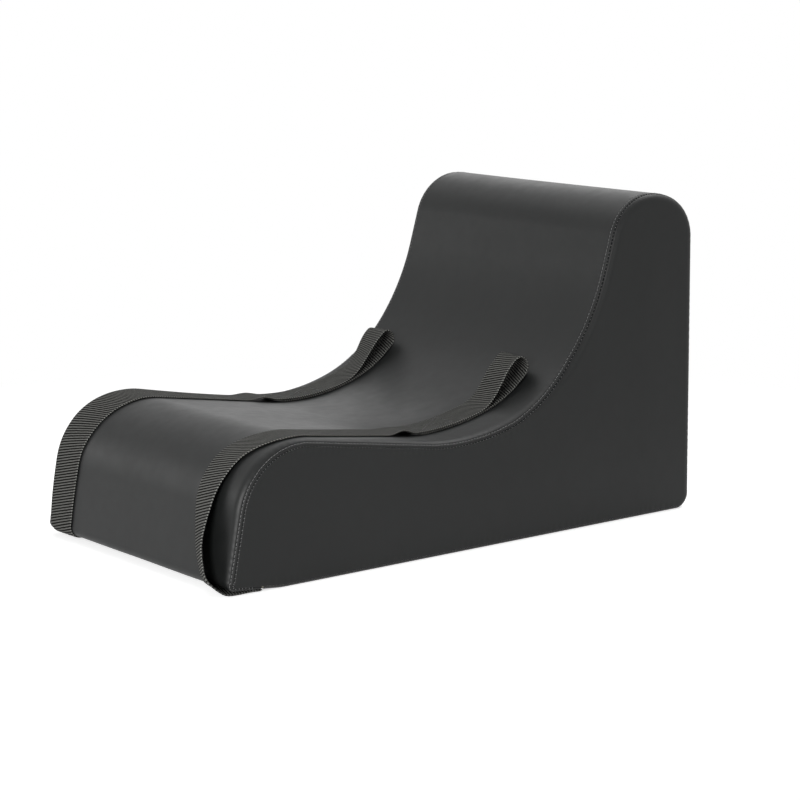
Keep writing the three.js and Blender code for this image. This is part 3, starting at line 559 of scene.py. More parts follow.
def cover_base():
    s = np.arange(ZIP_BOTTOM + SEAM_GAP / 2, TOTAL - SEAM_GAP, BASE_STEP)
    t, side = across_columns(s, EDGE_COLUMNS[::2] + EDGE_COLUMNS[-1:])
    grid_s = np.repeat(s[:, None], t.shape[1], 1)
    y = edge_points(grid_s, t, side)[..., 1]
    for strap in STRAPS.values():
        low = WIDTH / 2 - strap["anchor"] * MM - STRAP_WIDTH - SLIT_ROOM
        under = (y * strap["side"] > low) & (y * strap["side"] < low + STRAP_WIDTH + 2 * SLIT_ROOM)
        back = np.clip((grid_s - (TOTAL - SLIT_REACH)) / SLIT_REACH, 0, 1) * SLIT_BACK
        grid_s = np.where(under, grid_s - back, grid_s)
    points = edge_points(grid_s, t, side, seam_roll(grid_s, t) * BASE_ROLL)
    points[..., 2] = np.maximum(points[..., 2], 0)
    obj = piece("cover_base", points.reshape(-1, 3), grid_faces(len(s), t.shape[1]), [BASE_CLOTH])
    thicken(obj, PANEL_THICK)
    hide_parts("cover_base_panel")


def foam_block():
    """The foam inside the cover, with room behind the zip."""
    s = np.arange(0, TOTAL, FOAM_STEP)
    place = station(s)
    depth = SKIN + FIT
    quarter = np.linspace(0, 90, FOAM_BENDS) * math.pi / 180
    rows = [round_edge(place, a, -1, -depth) for a in quarter[::-1]]
    rows += [round_edge(place, a, 1, -depth) for a in quarter]
    grid = np.stack(rows, 1)
    count, cols = grid.shape[:2]
    points = grid.reshape(-1, 3)
    faces = belt_faces(count, cols)
    for k, side in ((0, -1), (cols - 1, 1)):
        rim = [i * cols + k for i in range(count)]
        points = close_side(points, faces, rim, side * (WIDTH / 2 - depth), side)
    obj = piece("foam_block", points, faces, [FOAM])
    half, end = TAPE_REACH + FIT, ZIP_END + FIT
    tape = cutter_box("zip_room", (-TAPE_ROOM, -end, -half), (ROOM_OUT, end, half))
    low, high = (-SLIDER_ROOM, SLIDER_FROM, -SLIDER_HALF), (ROOM_OUT, SLIDER_TO, SLIDER_HALF)
    path = cutter_box("slider_room", low, high)
    for tool in (tape, path):
        cut = obj.modifiers.new("room", "BOOLEAN")
        cut.object = tool
        cut.operation = "DIFFERENCE"
        cut.solver = "EXACT"
        bpy.context.view_layer.update()
        done = bpy.data.meshes.new_from_object(obj.evaluated_get(bpy.context.evaluated_depsgraph_get()))
        obj.modifiers.clear()
        obj.data = done
        bpy.data.objects.remove(tool)
    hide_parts("foam_core")


ZIP_X, ZIP_LEAN = float(station(rear_s(ZIP_Z))[0]), rad(90) + REAR_HEADING
ZIP_FRAME = Matrix.Translation((ZIP_X, 0, ZIP_Z)) @ Matrix.Rotation(-ZIP_LEAN, 4, "Y")
BOX_FACES = [(0, 1, 3, 2), (4, 6, 7, 5), (0, 4, 5, 1), (2, 3, 7, 6), (0, 2, 6, 4), (1, 5, 7, 3)]


def box_corners(low, high):
    return [(x, y, z) for x in (low[0], high[0]) for y in (low[1], high[1]) for z in (low[2], high[2])]


def cutter_box(name, low, high):
    mesh = bpy.data.meshes.new(name)
    mesh.from_pydata([tuple(ZIP_FRAME @ Vector(c)) for c in box_corners(low, high)], [], BOX_FACES)
    return linked(name, mesh)


# Thread

def stitches(name, centres, tangents, normals, mat, length=STITCH_LENGTH):
    """Short threads lying along a line of stitches, each dipping into the cloth at its two ends."""
    points, faces = [], []
    last = len(THREAD_BENDS) - 1
    for c, t, n in zip(centres, tangents, normals):
        t, n = t / np.linalg.norm(t), n / np.linalg.norm(n)
        b = np.cross(t, n)
        base = len(points)
        for f in THREAD_BENDS:
            dip = THREAD / 2 * (0.2 - 1.6 * (abs(f) / 0.5) ** 4)
            size = THREAD / 2 * (0.45 if abs(f) == 0.5 else 1)
            middle = c + t * f * length + n * dip
            for a in np.arange(THREAD_SIDES) * 2 * math.pi / THREAD_SIDES:
                points.append(middle + size * (math.cos(a) * n + math.sin(a) * b))
        faces += grid_faces(last + 1, THREAD_SIDES, close=True, offset=base)
        faces.append([base + k for k in range(THREAD_SIDES)])
        faces.append([base + last * THREAD_SIDES + k for k in reversed(range(THREAD_SIDES))])
    obj = piece(name, points, faces, [mat])


def jitter(count, reach):
    return np.array([random.uniform(-reach, reach) * MM for _ in range(count)])


def topstitching(name, side):
    """The row of stitches beside a side seam, on the top panel."""
    s = (np.arange(2, int(ZIP_TOP / STITCH_PITCH)) + 0.5) * STITCH_PITCH
    s = s + jitter(len(s), 0.15)
    t = WELT + jitter(len(s), 0.12)
    lift = top_relief(s, t) + THREAD / 4
    here = edge_points(s, t, side, lift)
    tangent = edge_points(s + 0.5 * MM, t, side, lift) - here
    inward = edge_points(s, t + 0.5 * MM, side, lift) - here
    stitches(name, here, tangent, np.cross(inward, tangent) * side, THREAD_MAT)


def seam_threads(name, side):
    """The thread that shows across a side seam where each stitch pulls it open."""
    s = np.arange(3, int(ZIP_TOP / STITCH_PITCH)) * STITCH_PITCH
    s = s + jitter(len(s), 0.2)
    reach, on_seam = np.full(len(s), SEAM_REACH), np.zeros(len(s))
    on_top = edge_points(s, reach, side, -SEAM_SUNK)
    on_side = rim_points(s + 0.4 * MM, reach, side, -SEAM_SUNK)
    ahead = edge_points(s + 0.5 * MM, on_seam, side) - edge_points(s, on_seam, side)
    across = on_side - on_top
    normal = np.cross(ahead, across) * -side
    stitches(name, (on_top + on_side) / 2, across, normal, THREAD_MAT, length=SEAM_THREAD)


# Webbing

LAY = FIT + STRAP_THICK / 2
STACK = STRAP_THICK + FIT
HINGE_S, FOLDED_S = seat_s(HINGE_X), seat_s(FOLDED_END_X)


def smooth_through(marks):
    """A smooth curve through marks, which never swings past the values that it joins."""
    at = np.array([m[0] for m in marks])
    value = np.array([m[1] for m in marks])
    rise = np.diff(value) / np.diff(at)
    slope = np.zeros(len(at))
    for i in range(1, len(at) - 1):
        if rise[i - 1] * rise[i] > 0:
            slope[i] = 2 * rise[i - 1] * rise[i] / (rise[i - 1] + rise[i])

    def curve(s):
        i = int(np.clip(np.searchsorted(at, s) - 1, 0, len(at) - 2))
        span = at[i + 1] - at[i]
        t = min(max((s - at[i]) / span, 0), 1)
        return ((1 + 2 * t) * (1 - t) ** 2 * value[i] + t * (1 - t) ** 2 * span * slope[i]
                + t * t * (3 - 2 * t) * value[i + 1] + t * t * (t - 1) * span * slope[i + 1])
    return curve


def strap_curves(strap):
    """The inset of a strap's outer edge and that edge's slack, at distances along the outline."""
    high = front_s(HIGH_Z)
    shoulder = first(high, lambda x, z, nx, nz: nz > math.cos(SHOULDER))
    spots = [0, front_s(FOOT_RISE + FOOT_RADIUS / 2), front_s(KNEE_Z), front_s(LOW_Z), high,
             shoulder, NOSE_S, (NOSE_S + HINGE_S) / 2, HINGE_S]

    def route(*values):
        return smooth_through([(s, v * MM) for s, v in zip(spots, values)])
    return route(strap["anchor"], *strap["inset"], strap["hinge"]), route(0, *strap["outer_slack"], 0)


def over_fold(s, rise):
    """How far a strap's edge stands up over its folded end."""
    half = FOLD_REACH / 2
    away = s - (FOLDED_S - half - RISE_BACK)
    hump = (1 + math.cos(math.pi * away / half)) / 2 if abs(away) < half else 0
    return STACK * float(smooth_step(s, FOLDED_S - FOLD_REACH, FOLDED_S - FOLD_LEVEL)) + rise * MM * hump


def over_cover(s, height, y):
    """A point at a height over the outline, kept clear of the floor."""
    x, z, nx, nz, _, _ = station(s)
    floor = FIT / 2 + STRAP_THICK / 2
    return np.array([float(x + nx * height), y, max(float(z + nz * height), floor)])


def strap_line(strap):
    """Pairs of points on a strap's edges: up from the seam, round the hand loop, back to its cut end."""
    side = strap["side"]
    inset, outer_slack = strap_curves(strap)
    pairs = []

    def put(s_outer, h_outer, s_inner, h_inner):
        width = math.sqrt(STRAP_WIDTH ** 2 - (h_outer - h_inner) ** 2)
        y = side * (WIDTH / 2 - inset(max(s_outer, 0)))
        pairs.append((over_cover(s_outer, h_outer, y), over_cover(s_inner, h_inner, y - side * width)))

    for angle in np.linspace(0, rad(90), 5):
        s, h = 0.2 * MM - LAY * math.cos(angle), LAY * math.sin(angle)
        put(s, h, s, h)
    for s in np.arange(1.5 * MM, HINGE_S, RIB_PITCH / 2):
        outer, inner = (LAY + over_fold(s, rise) for rise in strap["rise"])
        put(s, outer + outer_slack(s), s, inner)
    for outer, inner in zip(loop_path(strap["outer_loop"]), loop_path(strap["inner_loop"])):
        put(*outer, *inner)
    for s in np.arange(HINGE_S, FOLDED_S, -RIB_PITCH / 2):
        put(s, LAY, s, LAY)
    return pairs


def loop_path(opening):
    """(distance, height) round one edge of a hand loop, out along the upper leg and back along the lower."""
    height, from_x, to_x, tip_x = (v * MM for v in opening)
    tip = seat_s(tip_x)
    radius = (STACK + height) / 2
    turn, start, full = tip - radius, seat_s(from_x), seat_s(to_x)

    def tip_lift(s):
        return TIP_LIFT * float(smooth_step(s, tip - TIP_LIFT_REACH, tip))
    leg = np.linspace(HINGE_S, turn, LEG_STEPS)
    upper = [(s, LAY + tip_lift(s) + STACK + height * float(smooth_step(s, start, full))) for s in leg]
    bend = [(turn + radius * math.cos(a), LAY + tip_lift(turn) + radius * (1 + math.sin(a)))
            for a in np.linspace(rad(90), rad(-90), BEND_STEPS)[1:-1]]
    return upper + bend + [(s, LAY + tip_lift(s)) for s in leg[::-1]]


def strap_sections(pairs, side):
    """Middle, across, up and distance for each section of the webbing."""
    low = np.array([p[0] if side < 0 else p[1] for p in pairs])
    high = np.array([p[1] if side < 0 else p[0] for p in pairs])
    low, high = eased(low), eased(high)
    middle = (low + high) / 2
    ahead = np.gradient(middle, axis=0)
    across = high - low
    half = np.linalg.norm(across, axis=1) / 2
    across = across / np.linalg.norm(across, axis=1)[:, None]
    up = np.cross(ahead, across)
    up = up / np.linalg.norm(up, axis=1)[:, None]
    run = np.concatenate([[0], np.cumsum(np.linalg.norm(np.diff(middle, axis=0), axis=1))])
    return middle, across, up, half, run


def eased(points):
    """Takes the last unevenness out of a line of points, with its ends held."""
    for _ in range(EASE_TURNS):
        points[1:-1] = points[1:-1] * 0.5 + (points[:-2] + points[2:]) * 0.25
    return points


def webbing(label, strap):
    """One strap as a single band: its run over the front and seat, its hand loop and its folded end."""
    middle, across, up, half, run = strap_sections(strap_line(strap), strap["side"])
    profile = [(f, 1.0) for f in BAND_COLUMNS] + [(1.0, 0.0)]
    profile += [(-f, -g) for f, g in profile]
    scallop = SCALLOP * np.cos(2 * math.pi * run / RIB_PITCH)
    points, uv = [], []
    for f, g in profile:
        edge = abs(f) > 0.99
        reach = (half - (EDGE_SET if edge and g else 0.0) + (scallop if edge else 0)) * f
        thick = BAND_HALF * g * (EDGE_THIN if edge else NEAR_EDGE_THIN if abs(f) > 0.95 else 1)
        points.append(middle + across * reach[:, None] + up * thick)
        uv.append(np.stack([(half * f) + STRAP_WIDTH / 2, run + (0 if g >= 0 else 0.5)], -1))
    grid = np.stack(points, 1)
    uvs = np.stack(uv, 1).reshape(-1, 2)
    rows, cols = grid.shape[:2]
    faces = grid_faces(rows, cols, close=True, flip=True)
    faces.append(list(range(cols)))
    faces.append([(rows - 1) * cols + k for k in reversed(range(cols))])
    obj = piece(f"webbing_{label}", grid.reshape(-1, 3), faces, [WEBBING], body=None, uv=uvs)
    start, end = (over_cover(seat_s(x), 0, 0) for x in (BLEND_FROM, BLEND_TO))
    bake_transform(obj)
    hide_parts(f"strap_{label}", f"strap_end_{label}", f"hand_loop_{label}")


def box_stitch(label, strap):
    """The sewing that holds the folded end: a rectangle of stitches with a cross in it."""
    side = strap["side"]
    inset, _ = strap_curves(strap)
    height = LAY + STACK + STRAP_THICK / 2 + 0.05 * MM
    low, high = FOLDED_S + BOX_FROM_FOLD, HINGE_S - BOX_FROM_HINGE
    near, far = BOX_MARGIN, STRAP_WIDTH - BOX_MARGIN
    a, b, c, d = (low, near), (high, near), (high, far), (low, far)
    centres, tangents, normals = [], [], []
    for (s0, w0), (s1, w1) in ((a, b), (b, c), (c, d), (d, a), (a, c), (d, b)):
        count = int(math.hypot(s1 - s0, w1 - w0) / BOX_PITCH)
        for k in range(count):
            f = (k + 0.5) / count
            s, w = s0 + (s1 - s0) * f, w0 + (w1 - w0) * f
            edge = WIDTH / 2 - inset(s) - w
            spot, ahead, across = (over_cover(s + ds, height, side * (edge - dw))
                                   for ds, dw in ((0, 0), (1 * MM, 0), (0, 1 * MM)))
            ahead, across = ahead - spot, across - spot
            centres.append(spot)
            tangents.append(ahead * (s1 - s0) + across * (w1 - w0))
            normals.append(np.cross(ahead, across) * side)
    stitches(f"box_stitch_{label}", centres, tangents, normals, DARK_THREAD, BOX_STITCH)


def fray(label, strap):
    """Loose fibres at the cut end of the webbing."""
    side = strap["side"]
    inset, _ = strap_curves(strap)
    edge = WIDTH / 2 - inset(FOLDED_S)
    points, faces = [], []
    for _ in range(FIBRES):
        w = random.uniform(1 * MM, STRAP_WIDTH - 1 * MM)
        height = LAY + random.uniform(-0.8, 0.8) * MM
        start = over_cover(FOLDED_S + 1.2 * MM, height, side * (edge - w))
        reach = random.uniform(1.5, 9) * MM
        end_height = max(height + random.uniform(-1.2, 1.6) * MM, 0.35 * MM)
        end = over_cover(FOLDED_S - reach, end_height, side * (edge - w - random.uniform(-1.4, 1.4) * MM))
        middle = (start + end) / 2 + np.array([0, random.uniform(-0.5, 0.5), random.uniform(0, 0.5)]) * MM
        base = len(points)
        for c, size in zip((start, middle, end), FIBRE_SIZES):
            for k in range(3):
                a = 2 * math.pi * k / 3
                points.append(c + np.array([0, math.cos(a), math.sin(a)]) * size * MM)
        faces += grid_faces(3, 3, close=True, flip=True, offset=base)
        faces += [[base + 2, base + 1, base], [base + 6, base + 7, base + 8]]
    obj = piece(f"fray_{label}", points, faces, [WEBBING_FIBRE])


# Zip

def in_zip_frame(points):
    matrix = np.array(ZIP_FRAME)
    return np.asarray(points, float) @ matrix[:3, :3].T + matrix[:3, 3]


def zip_half(label, side):
    """A woven tape with a corded edge, and its moulded teeth."""
    points, faces = [], []
    face_out = -SKIN - FIT
    across = [TOOTH_REACH + FIT + z for z in TAPE_CORD] + [*TAPE_PLACES, TAPE_REACH]
    section = list(zip(across, CORD_RISES))
    rows = np.arange(-ZIP_END, ZIP_END, TAPE_STEP)
    for y in rows:
        ripple = TAPE_RIPPLE * math.sin(y * 190 + side)
        points += [(face_out + rise * MM + ripple, y, side * z) for z, rise in section]
        face_in = face_out - TAPE_THICK
        points += [(face_in - rise * 0.6 * MM + ripple, y, side * z) for z, rise in section[::-1]]
    cols = 2 * len(across)
    faces += grid_faces(len(rows), cols, close=True, flip=side > 0)
    first_end, last_end = list(range(cols)), [(len(rows) - 1) * cols + k for k in range(cols)]
    faces += [first_end, last_end[::-1]] if side > 0 else [first_end[::-1], last_end]
    kinds = [0] * len(faces)
    first_tooth = TEETH_START + (0 if side > 0 else TOOTH_PITCH / 2)
    for k in range(int((TEETH_END - first_tooth) / TOOTH_PITCH)):
        add_tooth(points, faces, kinds, first_tooth + k * TOOTH_PITCH, side)
    obj = piece(f"zip_{label}", in_zip_frame(points), faces, [TAPE, TEETH], face_mats=kinds)
    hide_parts(f"zip_half_{label}")


def add_tooth(points, faces, kinds, y, side):
    """One moulded tooth: a head past the middle line, a waist and a foot clamped on the tape's cord."""
    half = TOOTH_WIDTH / 2
    middle = y + half
    base = len(points)
    for depth, grow in TOOTH_LAYERS:
        ring = [(middle - half * w * grow, z) for z, w in TOOTH_OUTLINE]
        ring += [(middle + half * w * grow, z) for z, w in TOOTH_OUTLINE[::-1]]
        points += [(depth, yy, side * z) for yy, z in ring]
    cols = 2 * len(TOOTH_OUTLINE)
    new = grid_faces(len(TOOTH_LAYERS), cols, close=True, flip=side < 0, offset=base)
    top, bottom = list(range(base, base + cols)), list(range(base + 3 * cols, base + 4 * cols))
    new += [top, bottom[::-1]] if side < 0 else [top[::-1], bottom]
    faces += new
    kinds += [1] * len(new)


def zip_sewing():
    """The rows of stitches that hold the tapes to the two panels."""
    ys = np.arange(-ZIP_END + 4 * MM, ZIP_END - 4 * MM, STITCH_PITCH)
    along_zip = [np.array([0, 1.0, 0])] * len(ys)
    for name, s in (("zip_stitches_upper", ZIP_TOP - ZIP_SEWN), ("zip_stitches_lower", ZIP_BOTTOM + ZIP_SEWN)):
        x, z, nx, nz, _, _ = [float(v) for v in station(s)]
        centres = [np.array([x + nx * 0.05 * MM, y, z + nz * 0.05 * MM]) for y in ys]
        stitches(name, centres, along_zip, [np.array([nx, 0, nz])] * len(ys), THREAD_MAT)


def zip_tab(name, side):
    """A vinyl tab under the panels' edges, where the zip ends at a side seam."""
    s = np.linspace(ZIP_TOP - TAB_OVERLAP, ZIP_BOTTOM + TAB_OVERLAP, TAB_CELLS)
    t = np.linspace(*TAB_REACH, TAB_CELLS)
    points = edge_points(*np.meshgrid(s, t, indexing="ij"), side, -TAB_DEPTH)
    obj = piece(name, points.reshape(-1, 3), grid_faces(TAB_CELLS, TAB_CELLS, flip=side > 0), [VINYL])
    thicken(obj, TAB_THICK)


def zip_end_strip():
    """A strip of tape that closes the slot between the tapes, past the slider's end of its run."""
    corners = box_corners((STRIP_BACK, -ZIP_END, -TOOTH_REACH), (STRIP_FACE, STRIP_END, TOOTH_REACH))
    obj = piece("zip_end_strip", in_zip_frame(corners), BOX_FACES, [TAPE])


def metal_pieces():
    """The stop, slider and pull keep their shapes, with their edges eased."""
    for node, width in (("zip_bottom_stop", 0.18), ("zip_slider", 0.32), ("zip_pull", 0.35)):
        obj = frame["nodes"][node]
        obj.data.materials.clear()
        obj.data.materials.append(ZIP_METAL)
        ease = obj.modifiers.new("ease", "BEVEL")
        ease.width, ease.segments, ease.limit_method, ease.angle_limit = width * MM, 3, "ANGLE", rad(30)
        ease.harden_normals = False


# Materials

class Paint:
    """A material and short ways to wire its nodes."""

    def __init__(self, name, **sockets):
        self.mat = bpy.data.materials.new(name)
        self.mat.use_nodes = True
        self.tree = self.mat.node_tree
        self.shader = self.tree.nodes["Principled BSDF"]
        for key, value in sockets.items():
            self.shader.inputs[key.replace("_", " ")].default_value = value

    def node(self, kind, inputs=None, **props):
        made = self.tree.nodes.new(kind)
        for key, value in props.items():
            setattr(made, key, value)
        for key, value in (inputs or {}).items():
            self.feed(made.inputs[key], value)
        return made

    def feed(self, socket, value):
        if isinstance(value, bpy.types.Node):
            value = value.outputs[0]
        if isinstance(value, bpy.types.NodeSocket):
            self.tree.links.new(value, socket)
        else:
            socket.default_value = value

    def math(self, operation, a, b=0.0):
        return self.node("ShaderNodeMath", {0: a, 1: b}, operation=operation)

    def set(self, name, value):
        self.feed(self.shader.inputs[name], value)

    def noise(self, vector, scale, detail=2.0):
        return self.node("ShaderNodeTexNoise", {"Vector": vector, "Scale": scale, "Detail": detail})

    def spread(self, value, low, high, from_low=0.3, from_high=0.7):
        ends = {"From Min": from_low, "From Max": from_high, "To Min": low, "To Max": high}
        return self.node("ShaderNodeMapRange", {"Value": value, **ends})

    def blend_colour(self, factor, a, b):
        a, b = ((*value, 1) if isinstance(value, tuple) else value for value in (a, b))
        return self.node("ShaderNodeMix", {0: factor, 6: a, 7: b}, data_type="RGBA").outputs[2]

    def bump(self, height, distance, strength=1.0, normal=None):
        made = self.node("ShaderNodeBump", {"Height": height, "Distance": distance, "Strength": strength})
        if normal is not None:
            self.feed(made.inputs["Normal"], normal)
        return made

    def ridges(self, value, pitch):
        """Rounded ridges, 0 in the valleys and 1 on the tops."""
        return self.math("ABSOLUTE", self.math("SINE", self.math("MULTIPLY", value, math.pi / pitch)))


def coordinates(paint, which="Object"):
    return paint.node("ShaderNodeTexCoord").outputs[which]


def vinyl():
    p = Paint("vinyl", Roughness=0.4)
    at = coordinates(p)
    broad, fine = p.noise(at, 7.0, 3), p.noise(at, 60.0, 3)
    p.set("Base Color", p.blend_colour(p.spread(broad, 0, 1), VINYL_DARK, VINYL_LIGHT))
    patchy = p.spread(broad, VINYL_ROUGH - 0.03, VINYL_ROUGH + 0.03)
    p.set("Roughness", p.math("ADD", patchy, p.spread(fine, -0.025, 0.025)))
    pebble = p.node("ShaderNodeTexVoronoi", {"Vector": at, "Scale": 780.0}, feature="SMOOTH_F1")
    crease = p.math("MULTIPLY", p.noise(at, 1500.0, 2), 0.35)
    height = p.math("ADD", p.math("MULTIPLY", pebble.outputs["Distance"], 0.8), crease)
    soft = p.bump(p.noise(at, 24.0, 2), 0.0009, 0.35)
    p.set("Normal", p.bump(height, 0.00006, 0.55, soft.outputs[0]))
    p.shader.inputs["Specular IOR Level"].default_value = VINYL_SPECULAR
    return p.mat


def webbing_material():
    """Slanted twill ribs of a few yarns each. The valleys between them carry painted shade, the rib tops are
    paler with their own colour and a painted sheen, and pale dots run along the selvedges.
    """
    p = Paint("webbing", Roughness=0.8, Specular_IOR_Level=0.1)
    split = p.node("ShaderNodeSeparateXYZ", {"Vector": coordinates(p, "UV")})
    u, v = split.outputs[0], split.outputs[1]
    wobble = p.math("MULTIPLY", p.math("SUBTRACT", p.noise(coordinates(p), 160.0, 1), 0.5), 0.0005)
    slant = p.math("ADD", p.math("ADD", v, p.math("MULTIPLY", u, math.tan(RIB_SLANT))), wobble)
    rib = p.ridges(slant, RIB_PITCH)
    yarn = p.ridges(p.math("ADD", u, p.math("MULTIPLY", v, -0.35)), YARN_PITCH)
    ridge = p.node("ShaderNodeMapRange", {"Value": rib, "From Min": 0.45, "From Max": 0.9},
                   interpolation_type="SMOOTHSTEP")
    yarns = p.math("MULTIPLY", p.math("MULTIPLY", yarn, ridge), 0.2)
    height = p.math("ADD", p.math("MULTIPLY", ridge, 0.8), yarns)
    mottle = p.math("MULTIPLY", p.math("SUBTRACT", p.noise(coordinates(p), 420.0, 2), 0.5), 0.6)
    shade = p.math("ADD", height, p.math("MULTIPLY", mottle, ridge))
    # painted shade and sheen: the valleys between the ribs take the near-black colour in place of their shade,
    # and the rib tops take a paler colour that is partly the webbing's own and partly painted sheen
    cloth = p.blend_colour(p.spread(shade, 0, 1, 0.0, 1.1), WEB_SHADED_VALLEY, WEB_RIDGE_AND_SHEEN)
    off_middle = p.math("ABSOLUTE", p.math("SUBTRACT", u, STRAP_WIDTH / 2))
    edge = p.spread(off_middle, 0, 1, STRAP_WIDTH / 2 - 1.7 * MM, STRAP_WIDTH / 2 - 0.8 * MM)
    dots = p.math("MULTIPLY", edge, p.math("POWER", rib, 3.0))
    p.set("Base Color", p.blend_colour(dots, cloth, SELVEDGE))
    p.set("Roughness", p.spread(ridge, 0.95, 0.7, 0.0, 1.0))
    p.set("Normal", p.bump(height, 0.0009, 0.9))
    return p.mat


def woven(name, dark, light, pitch, depth):
    """A plain weave of threads along the object's Y and across it."""
    p = Paint(name, Roughness=0.85)
    at = coordinates(p)
    split = p.node("ShaderNodeSeparateXYZ", {"Vector": at})
    weft = p.ridges(split.outputs[1], pitch)
    warp = p.ridges(p.math("ADD", split.outputs[0], split.outputs[2]), pitch)
    crossing = p.math("MULTIPLY", p.math("MULTIPLY", weft, warp), 0.6)
    cloth = p.math("ADD", p.math("MAXIMUM", weft, warp), crossing)
    shade = p.spread(p.math("ADD", cloth, p.noise(at, 300.0, 2)), 0, 1, 0.6, 2.0)
    p.set("Base Color", p.blend_colour(shade, dark, light))
    p.set("Normal", p.bump(cloth, depth, 0.8))
    p.shader.inputs["Sheen Weight"].default_value = 0.2
    return p.mat


def foam_material():
    p = Paint("foam", Roughness=0.95)
    at = coordinates(p)
    cells = p.node("ShaderNodeTexVoronoi", {"Vector": at, "Scale": 900.0})
    shade = p.spread(p.math("ADD", cells.outputs["Distance"], p.noise(at, 40.0, 3)), 0, 1, 0.3, 1.2)
    p.set("Base Color", p.blend_colour(shade, FOAM_DARK, FOAM_LIGHT))
    p.set("Normal", p.bump(cells.outputs["Distance"], 0.0005, 0.7))
    return p.mat


def thread_material(name, dark, light):
    """Twisted thread."""
    p = Paint(name, Roughness=0.55)
    at = coordinates(p)
    strands = p.noise(at, 2600.0, 1)
    p.set("Base Color", p.blend_colour(p.spread(strands, 0, 1), dark, light))
    p.set("Normal", p.bump(strands, 0.0001, 0.6))
    p.shader.inputs["Sheen Weight"].default_value = 0.2
    return p.mat


def teeth_material():
    p = Paint("zip_teeth", Roughness=0.35)
    at = coordinates(p)
    p.set("Base Color", p.blend_colour(p.spread(p.noise(at, 500.0), 0, 1), TEETH_DARK, TEETH_LIGHT))
    p.set("Roughness", p.spread(p.noise(at, 1200.0), 0.3, 0.45))
    return p.mat


def metal_material():
    p = Paint("zip_enamel", Roughness=0.3, Metallic=0.85)
    at = coordinates(p)
    worn = p.spread(p.noise(at, 380.0, 4), 0, 1, 0.55, 0.7)
    p.set("Base Color", p.blend_colour(worn, ENAMEL_DARK, ENAMEL_LIGHT))
    p.set("Roughness", p.spread(p.noise(at, 900.0, 3), 0.26, 0.42))
    p.set("Normal", p.bump(p.noise(at, 2400.0, 2), 0.00003, 0.4))
    return p.mat


VINYL_DARK, VINYL_LIGHT = (0.0074, 0.0080, 0.0079), (0.0094, 0.0100, 0.0098)
VINYL_ROUGH, VINYL_SPECULAR = 0.46, 0.24
# Webbing: near-black painted shade for the rib valleys; the rib tops' own colour with painted sheen added
WEB_SHADED_VALLEY, WEB_RIDGE_AND_SHEEN = (0.0012, 0.0012, 0.0012), (0.125, 0.125, 0.117)
SELVEDGE = (0.24, 0.24, 0.225)
FOAM_DARK, FOAM_LIGHT = (0.52, 0.48, 0.36), (0.66, 0.62, 0.50)
TEETH_DARK, TEETH_LIGHT = (0.008, 0.008, 0.009), (0.016, 0.016, 0.017)
ENAMEL_DARK, ENAMEL_LIGHT = (0.035, 0.036, 0.038), (0.11, 0.11, 0.115)
VINYL = vinyl()
WEBBING = webbing_material()
WEBBING_FIBRE = thread_material("webbing_fibre", (0.06, 0.06, 0.056), (0.20, 0.20, 0.19))
BASE_CLOTH = woven("base_cloth", (0.006, 0.006, 0.006), (0.026, 0.026, 0.026), 1.1 * MM, 0.2 * MM)
TAPE = woven("zip_tape", (0.004, 0.004, 0.0045), (0.02, 0.02, 0.021), 0.7 * MM, 0.12 * MM)
FOAM = foam_material()
THREAD_MAT = thread_material("thread", (0.08, 0.08, 0.08), (0.22, 0.22, 0.22))
DARK_THREAD = thread_material("dark_thread", (0.012, 0.012, 0.012), (0.035, 0.035, 0.035))
TEETH = teeth_material()
ZIP_METAL = metal_material()


# Studio

def camera():
    ahead = math.cos(CAMERA_TILT)
    back = Vector((math.sin(CAMERA_TURN) * ahead, -math.cos(CAMERA_TURN) * ahead, math.sin(CAMERA_TILT)))
    data = bpy.data.cameras.new("camera")
    data.sensor_width, data.lens = 36.0, CAMERA_LENS
    data.clip_start, data.clip_end = 0.05, 60.0
    obj = linked("camera", data)
    obj.location = CAMERA_TARGET + back * CAMERA_DISTANCE
    obj.rotation_mode = "QUATERNION"
    obj.rotation_quaternion = (-back).to_track_quat("-Z", "Y")
    bpy.context.scene.camera = obj


def soft_light(name, place, size, power):
    """A soft lamp that looks at the object."""
    data = bpy.data.lights.new(name, "AREA")
    data.shape, data.size, data.size_y, data.energy = "RECTANGLE", size[0], size[1], power
    obj = linked(name, data)
    obj.location = place
    obj.rotation_mode = "QUATERNION"
    obj.rotation_quaternion = (LIGHT_AIM - Vector(place)).to_track_quat("-Z", "Y")


def background():
    """White where the camera, gloss or glass looks past the object; a plain soft grey for its light."""
    world = bpy.data.worlds.new("studio")
    bpy.context.scene.world = world
    world.use_nodes = True
    nodes, links = world.node_tree.nodes, world.node_tree.links
    nodes.clear()
    rays = nodes.new("ShaderNodeLightPath")
    seen = rays.outputs["Is Camera Ray"]
    for name in ("Is Glossy Ray", "Is Transmission Ray"):
        most = nodes.new("ShaderNodeMath")
        most.operation = "MAXIMUM"
        links.new(seen, most.inputs[0])
        links.new(rays.outputs[name], most.inputs[1])
        seen = most.outputs[0]
    fill, white = nodes.new("ShaderNodeBackground"), nodes.new("ShaderNodeBackground")
    for plain, strength in ((fill, WORLD_FILL), (white, 1.0)):
        plain.inputs["Color"].default_value = (1, 1, 1, 1)
        plain.inputs["Strength"].default_value = strength
    mix, out = nodes.new("ShaderNodeMixShader"), nodes.new("ShaderNodeOutputWorld")
    links.new(seen, mix.inputs[0])
    links.new(fill.outputs[0], mix.inputs[1])
    links.new(white.outputs[0], mix.inputs[2])
    links.new(mix.outputs[0], out.inputs["Surface"])


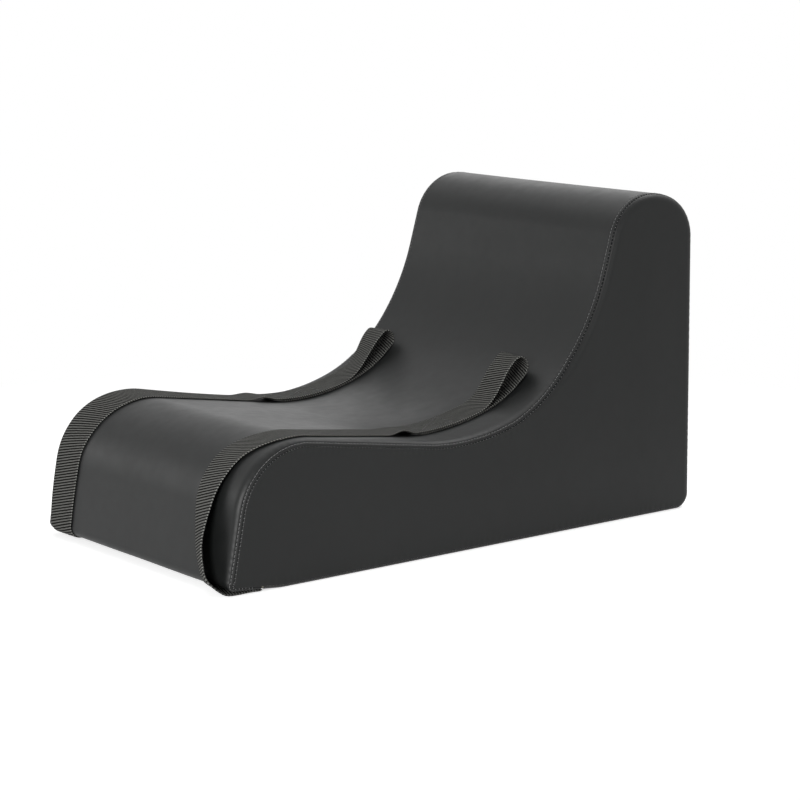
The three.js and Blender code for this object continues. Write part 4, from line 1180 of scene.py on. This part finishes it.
def floor():
    """A pale floor that keeps the object's shadow and runs out into the white background."""
    mesh = bpy.data.meshes.new("floor")
    far = FLOOR_REACH
    mesh.from_pydata([(-far, -far, 0), (far, -far, 0), (far, far, 0), (-far, far, 0)], [], [(0, 1, 2, 3)])
    obj = linked("floor", mesh)
    p = Paint("floor", Base_Color=(*FLOOR_COLOUR, 1), Roughness=0.9, Specular_IOR_Level=0.0,
              Emission_Color=(1, 1, 1, 1))
    rays = p.node("ShaderNodeLightPath").outputs
    through = p.math("MAXIMUM", rays["Is Glossy Ray"], rays["Is Transmission Ray"])
    seen = p.math("MAXIMUM", rays["Is Camera Ray"], through)
    away = p.node("ShaderNodeVectorMath", {0: coordinates(p)}, operation="LENGTH").outputs["Value"]
    p.set("Emission Strength", p.math("MULTIPLY", seen, FLOOR_LIFT))
    white = p.node("ShaderNodeEmission", {"Strength": 1.0})
    faded = p.math("MULTIPLY", seen, p.spread(away, 0, 1, *FLOOR_FADE))
    mix = p.node("ShaderNodeMixShader", {0: faded, 1: p.shader, 2: white})
    p.feed(p.tree.nodes["Material Output"].inputs["Surface"], mix)
    mesh.materials.append(p.mat)
    obj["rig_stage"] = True


CAMERA_TURN, CAMERA_TILT, CAMERA_DISTANCE, CAMERA_LENS = rad(-38.67), rad(10.59), 3.478, 108.1
CAMERA_TARGET, LIGHT_AIM = Vector((0.0436, 0.0, 0.1713)), Vector((0, 0, 0.2))
WORLD_FILL, FLOOR_COLOUR, FLOOR_LIFT = 0.22, (0.82, 0.82, 0.82), 0.62
FLOOR_REACH, FLOOR_FADE = 14.0, (0.55, 1.3)
camera()
background()
floor()
soft_light("top", (0.3, 0.6, 2.6), (2.4, 2.4), 21)
soft_light("side", (0, -2.97, 0.62), (1.5, 1.2), 9)
soft_light("rear", (1.85, 0, 2.56), (1.5, 1.2), 30)
soft_light("rim", (1.87, 1.87, 1.6), (1.5, 1.2), 5.5)
soft_light("front", (-1.75, 2.17, 0.72), (1.6, 0.6), 8)
soft_light("key", (-2.6, -1.3, 0.75), (1.2, 1.0), 66)
bpy.context.scene.view_settings.view_transform = "Standard"


# Assembly

foam_block()
cover_top()
cover_side("left", -1)
cover_side("right", 1)
cover_base()
for label, sign in (("left", -1), ("right", 1)):
    topstitching(f"topstitch_{label}", sign)
    seam_threads(f"seam_threads_{label}", sign)
for label, strap in STRAPS.items():
    webbing(label, strap)
    box_stitch(label, strap)
    fray(label, strap)
zip_half("upper", 1)
zip_half("lower", -1)
zip_sewing()
zip_tab("zip_tab_left", -1)
zip_tab("zip_tab_right", 1)
zip_end_strip()
metal_pieces()

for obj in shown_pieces():
    if "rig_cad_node" in obj:
        obj.data.polygons.foreach_set("use_smooth", [False] * len(obj.data.polygons))
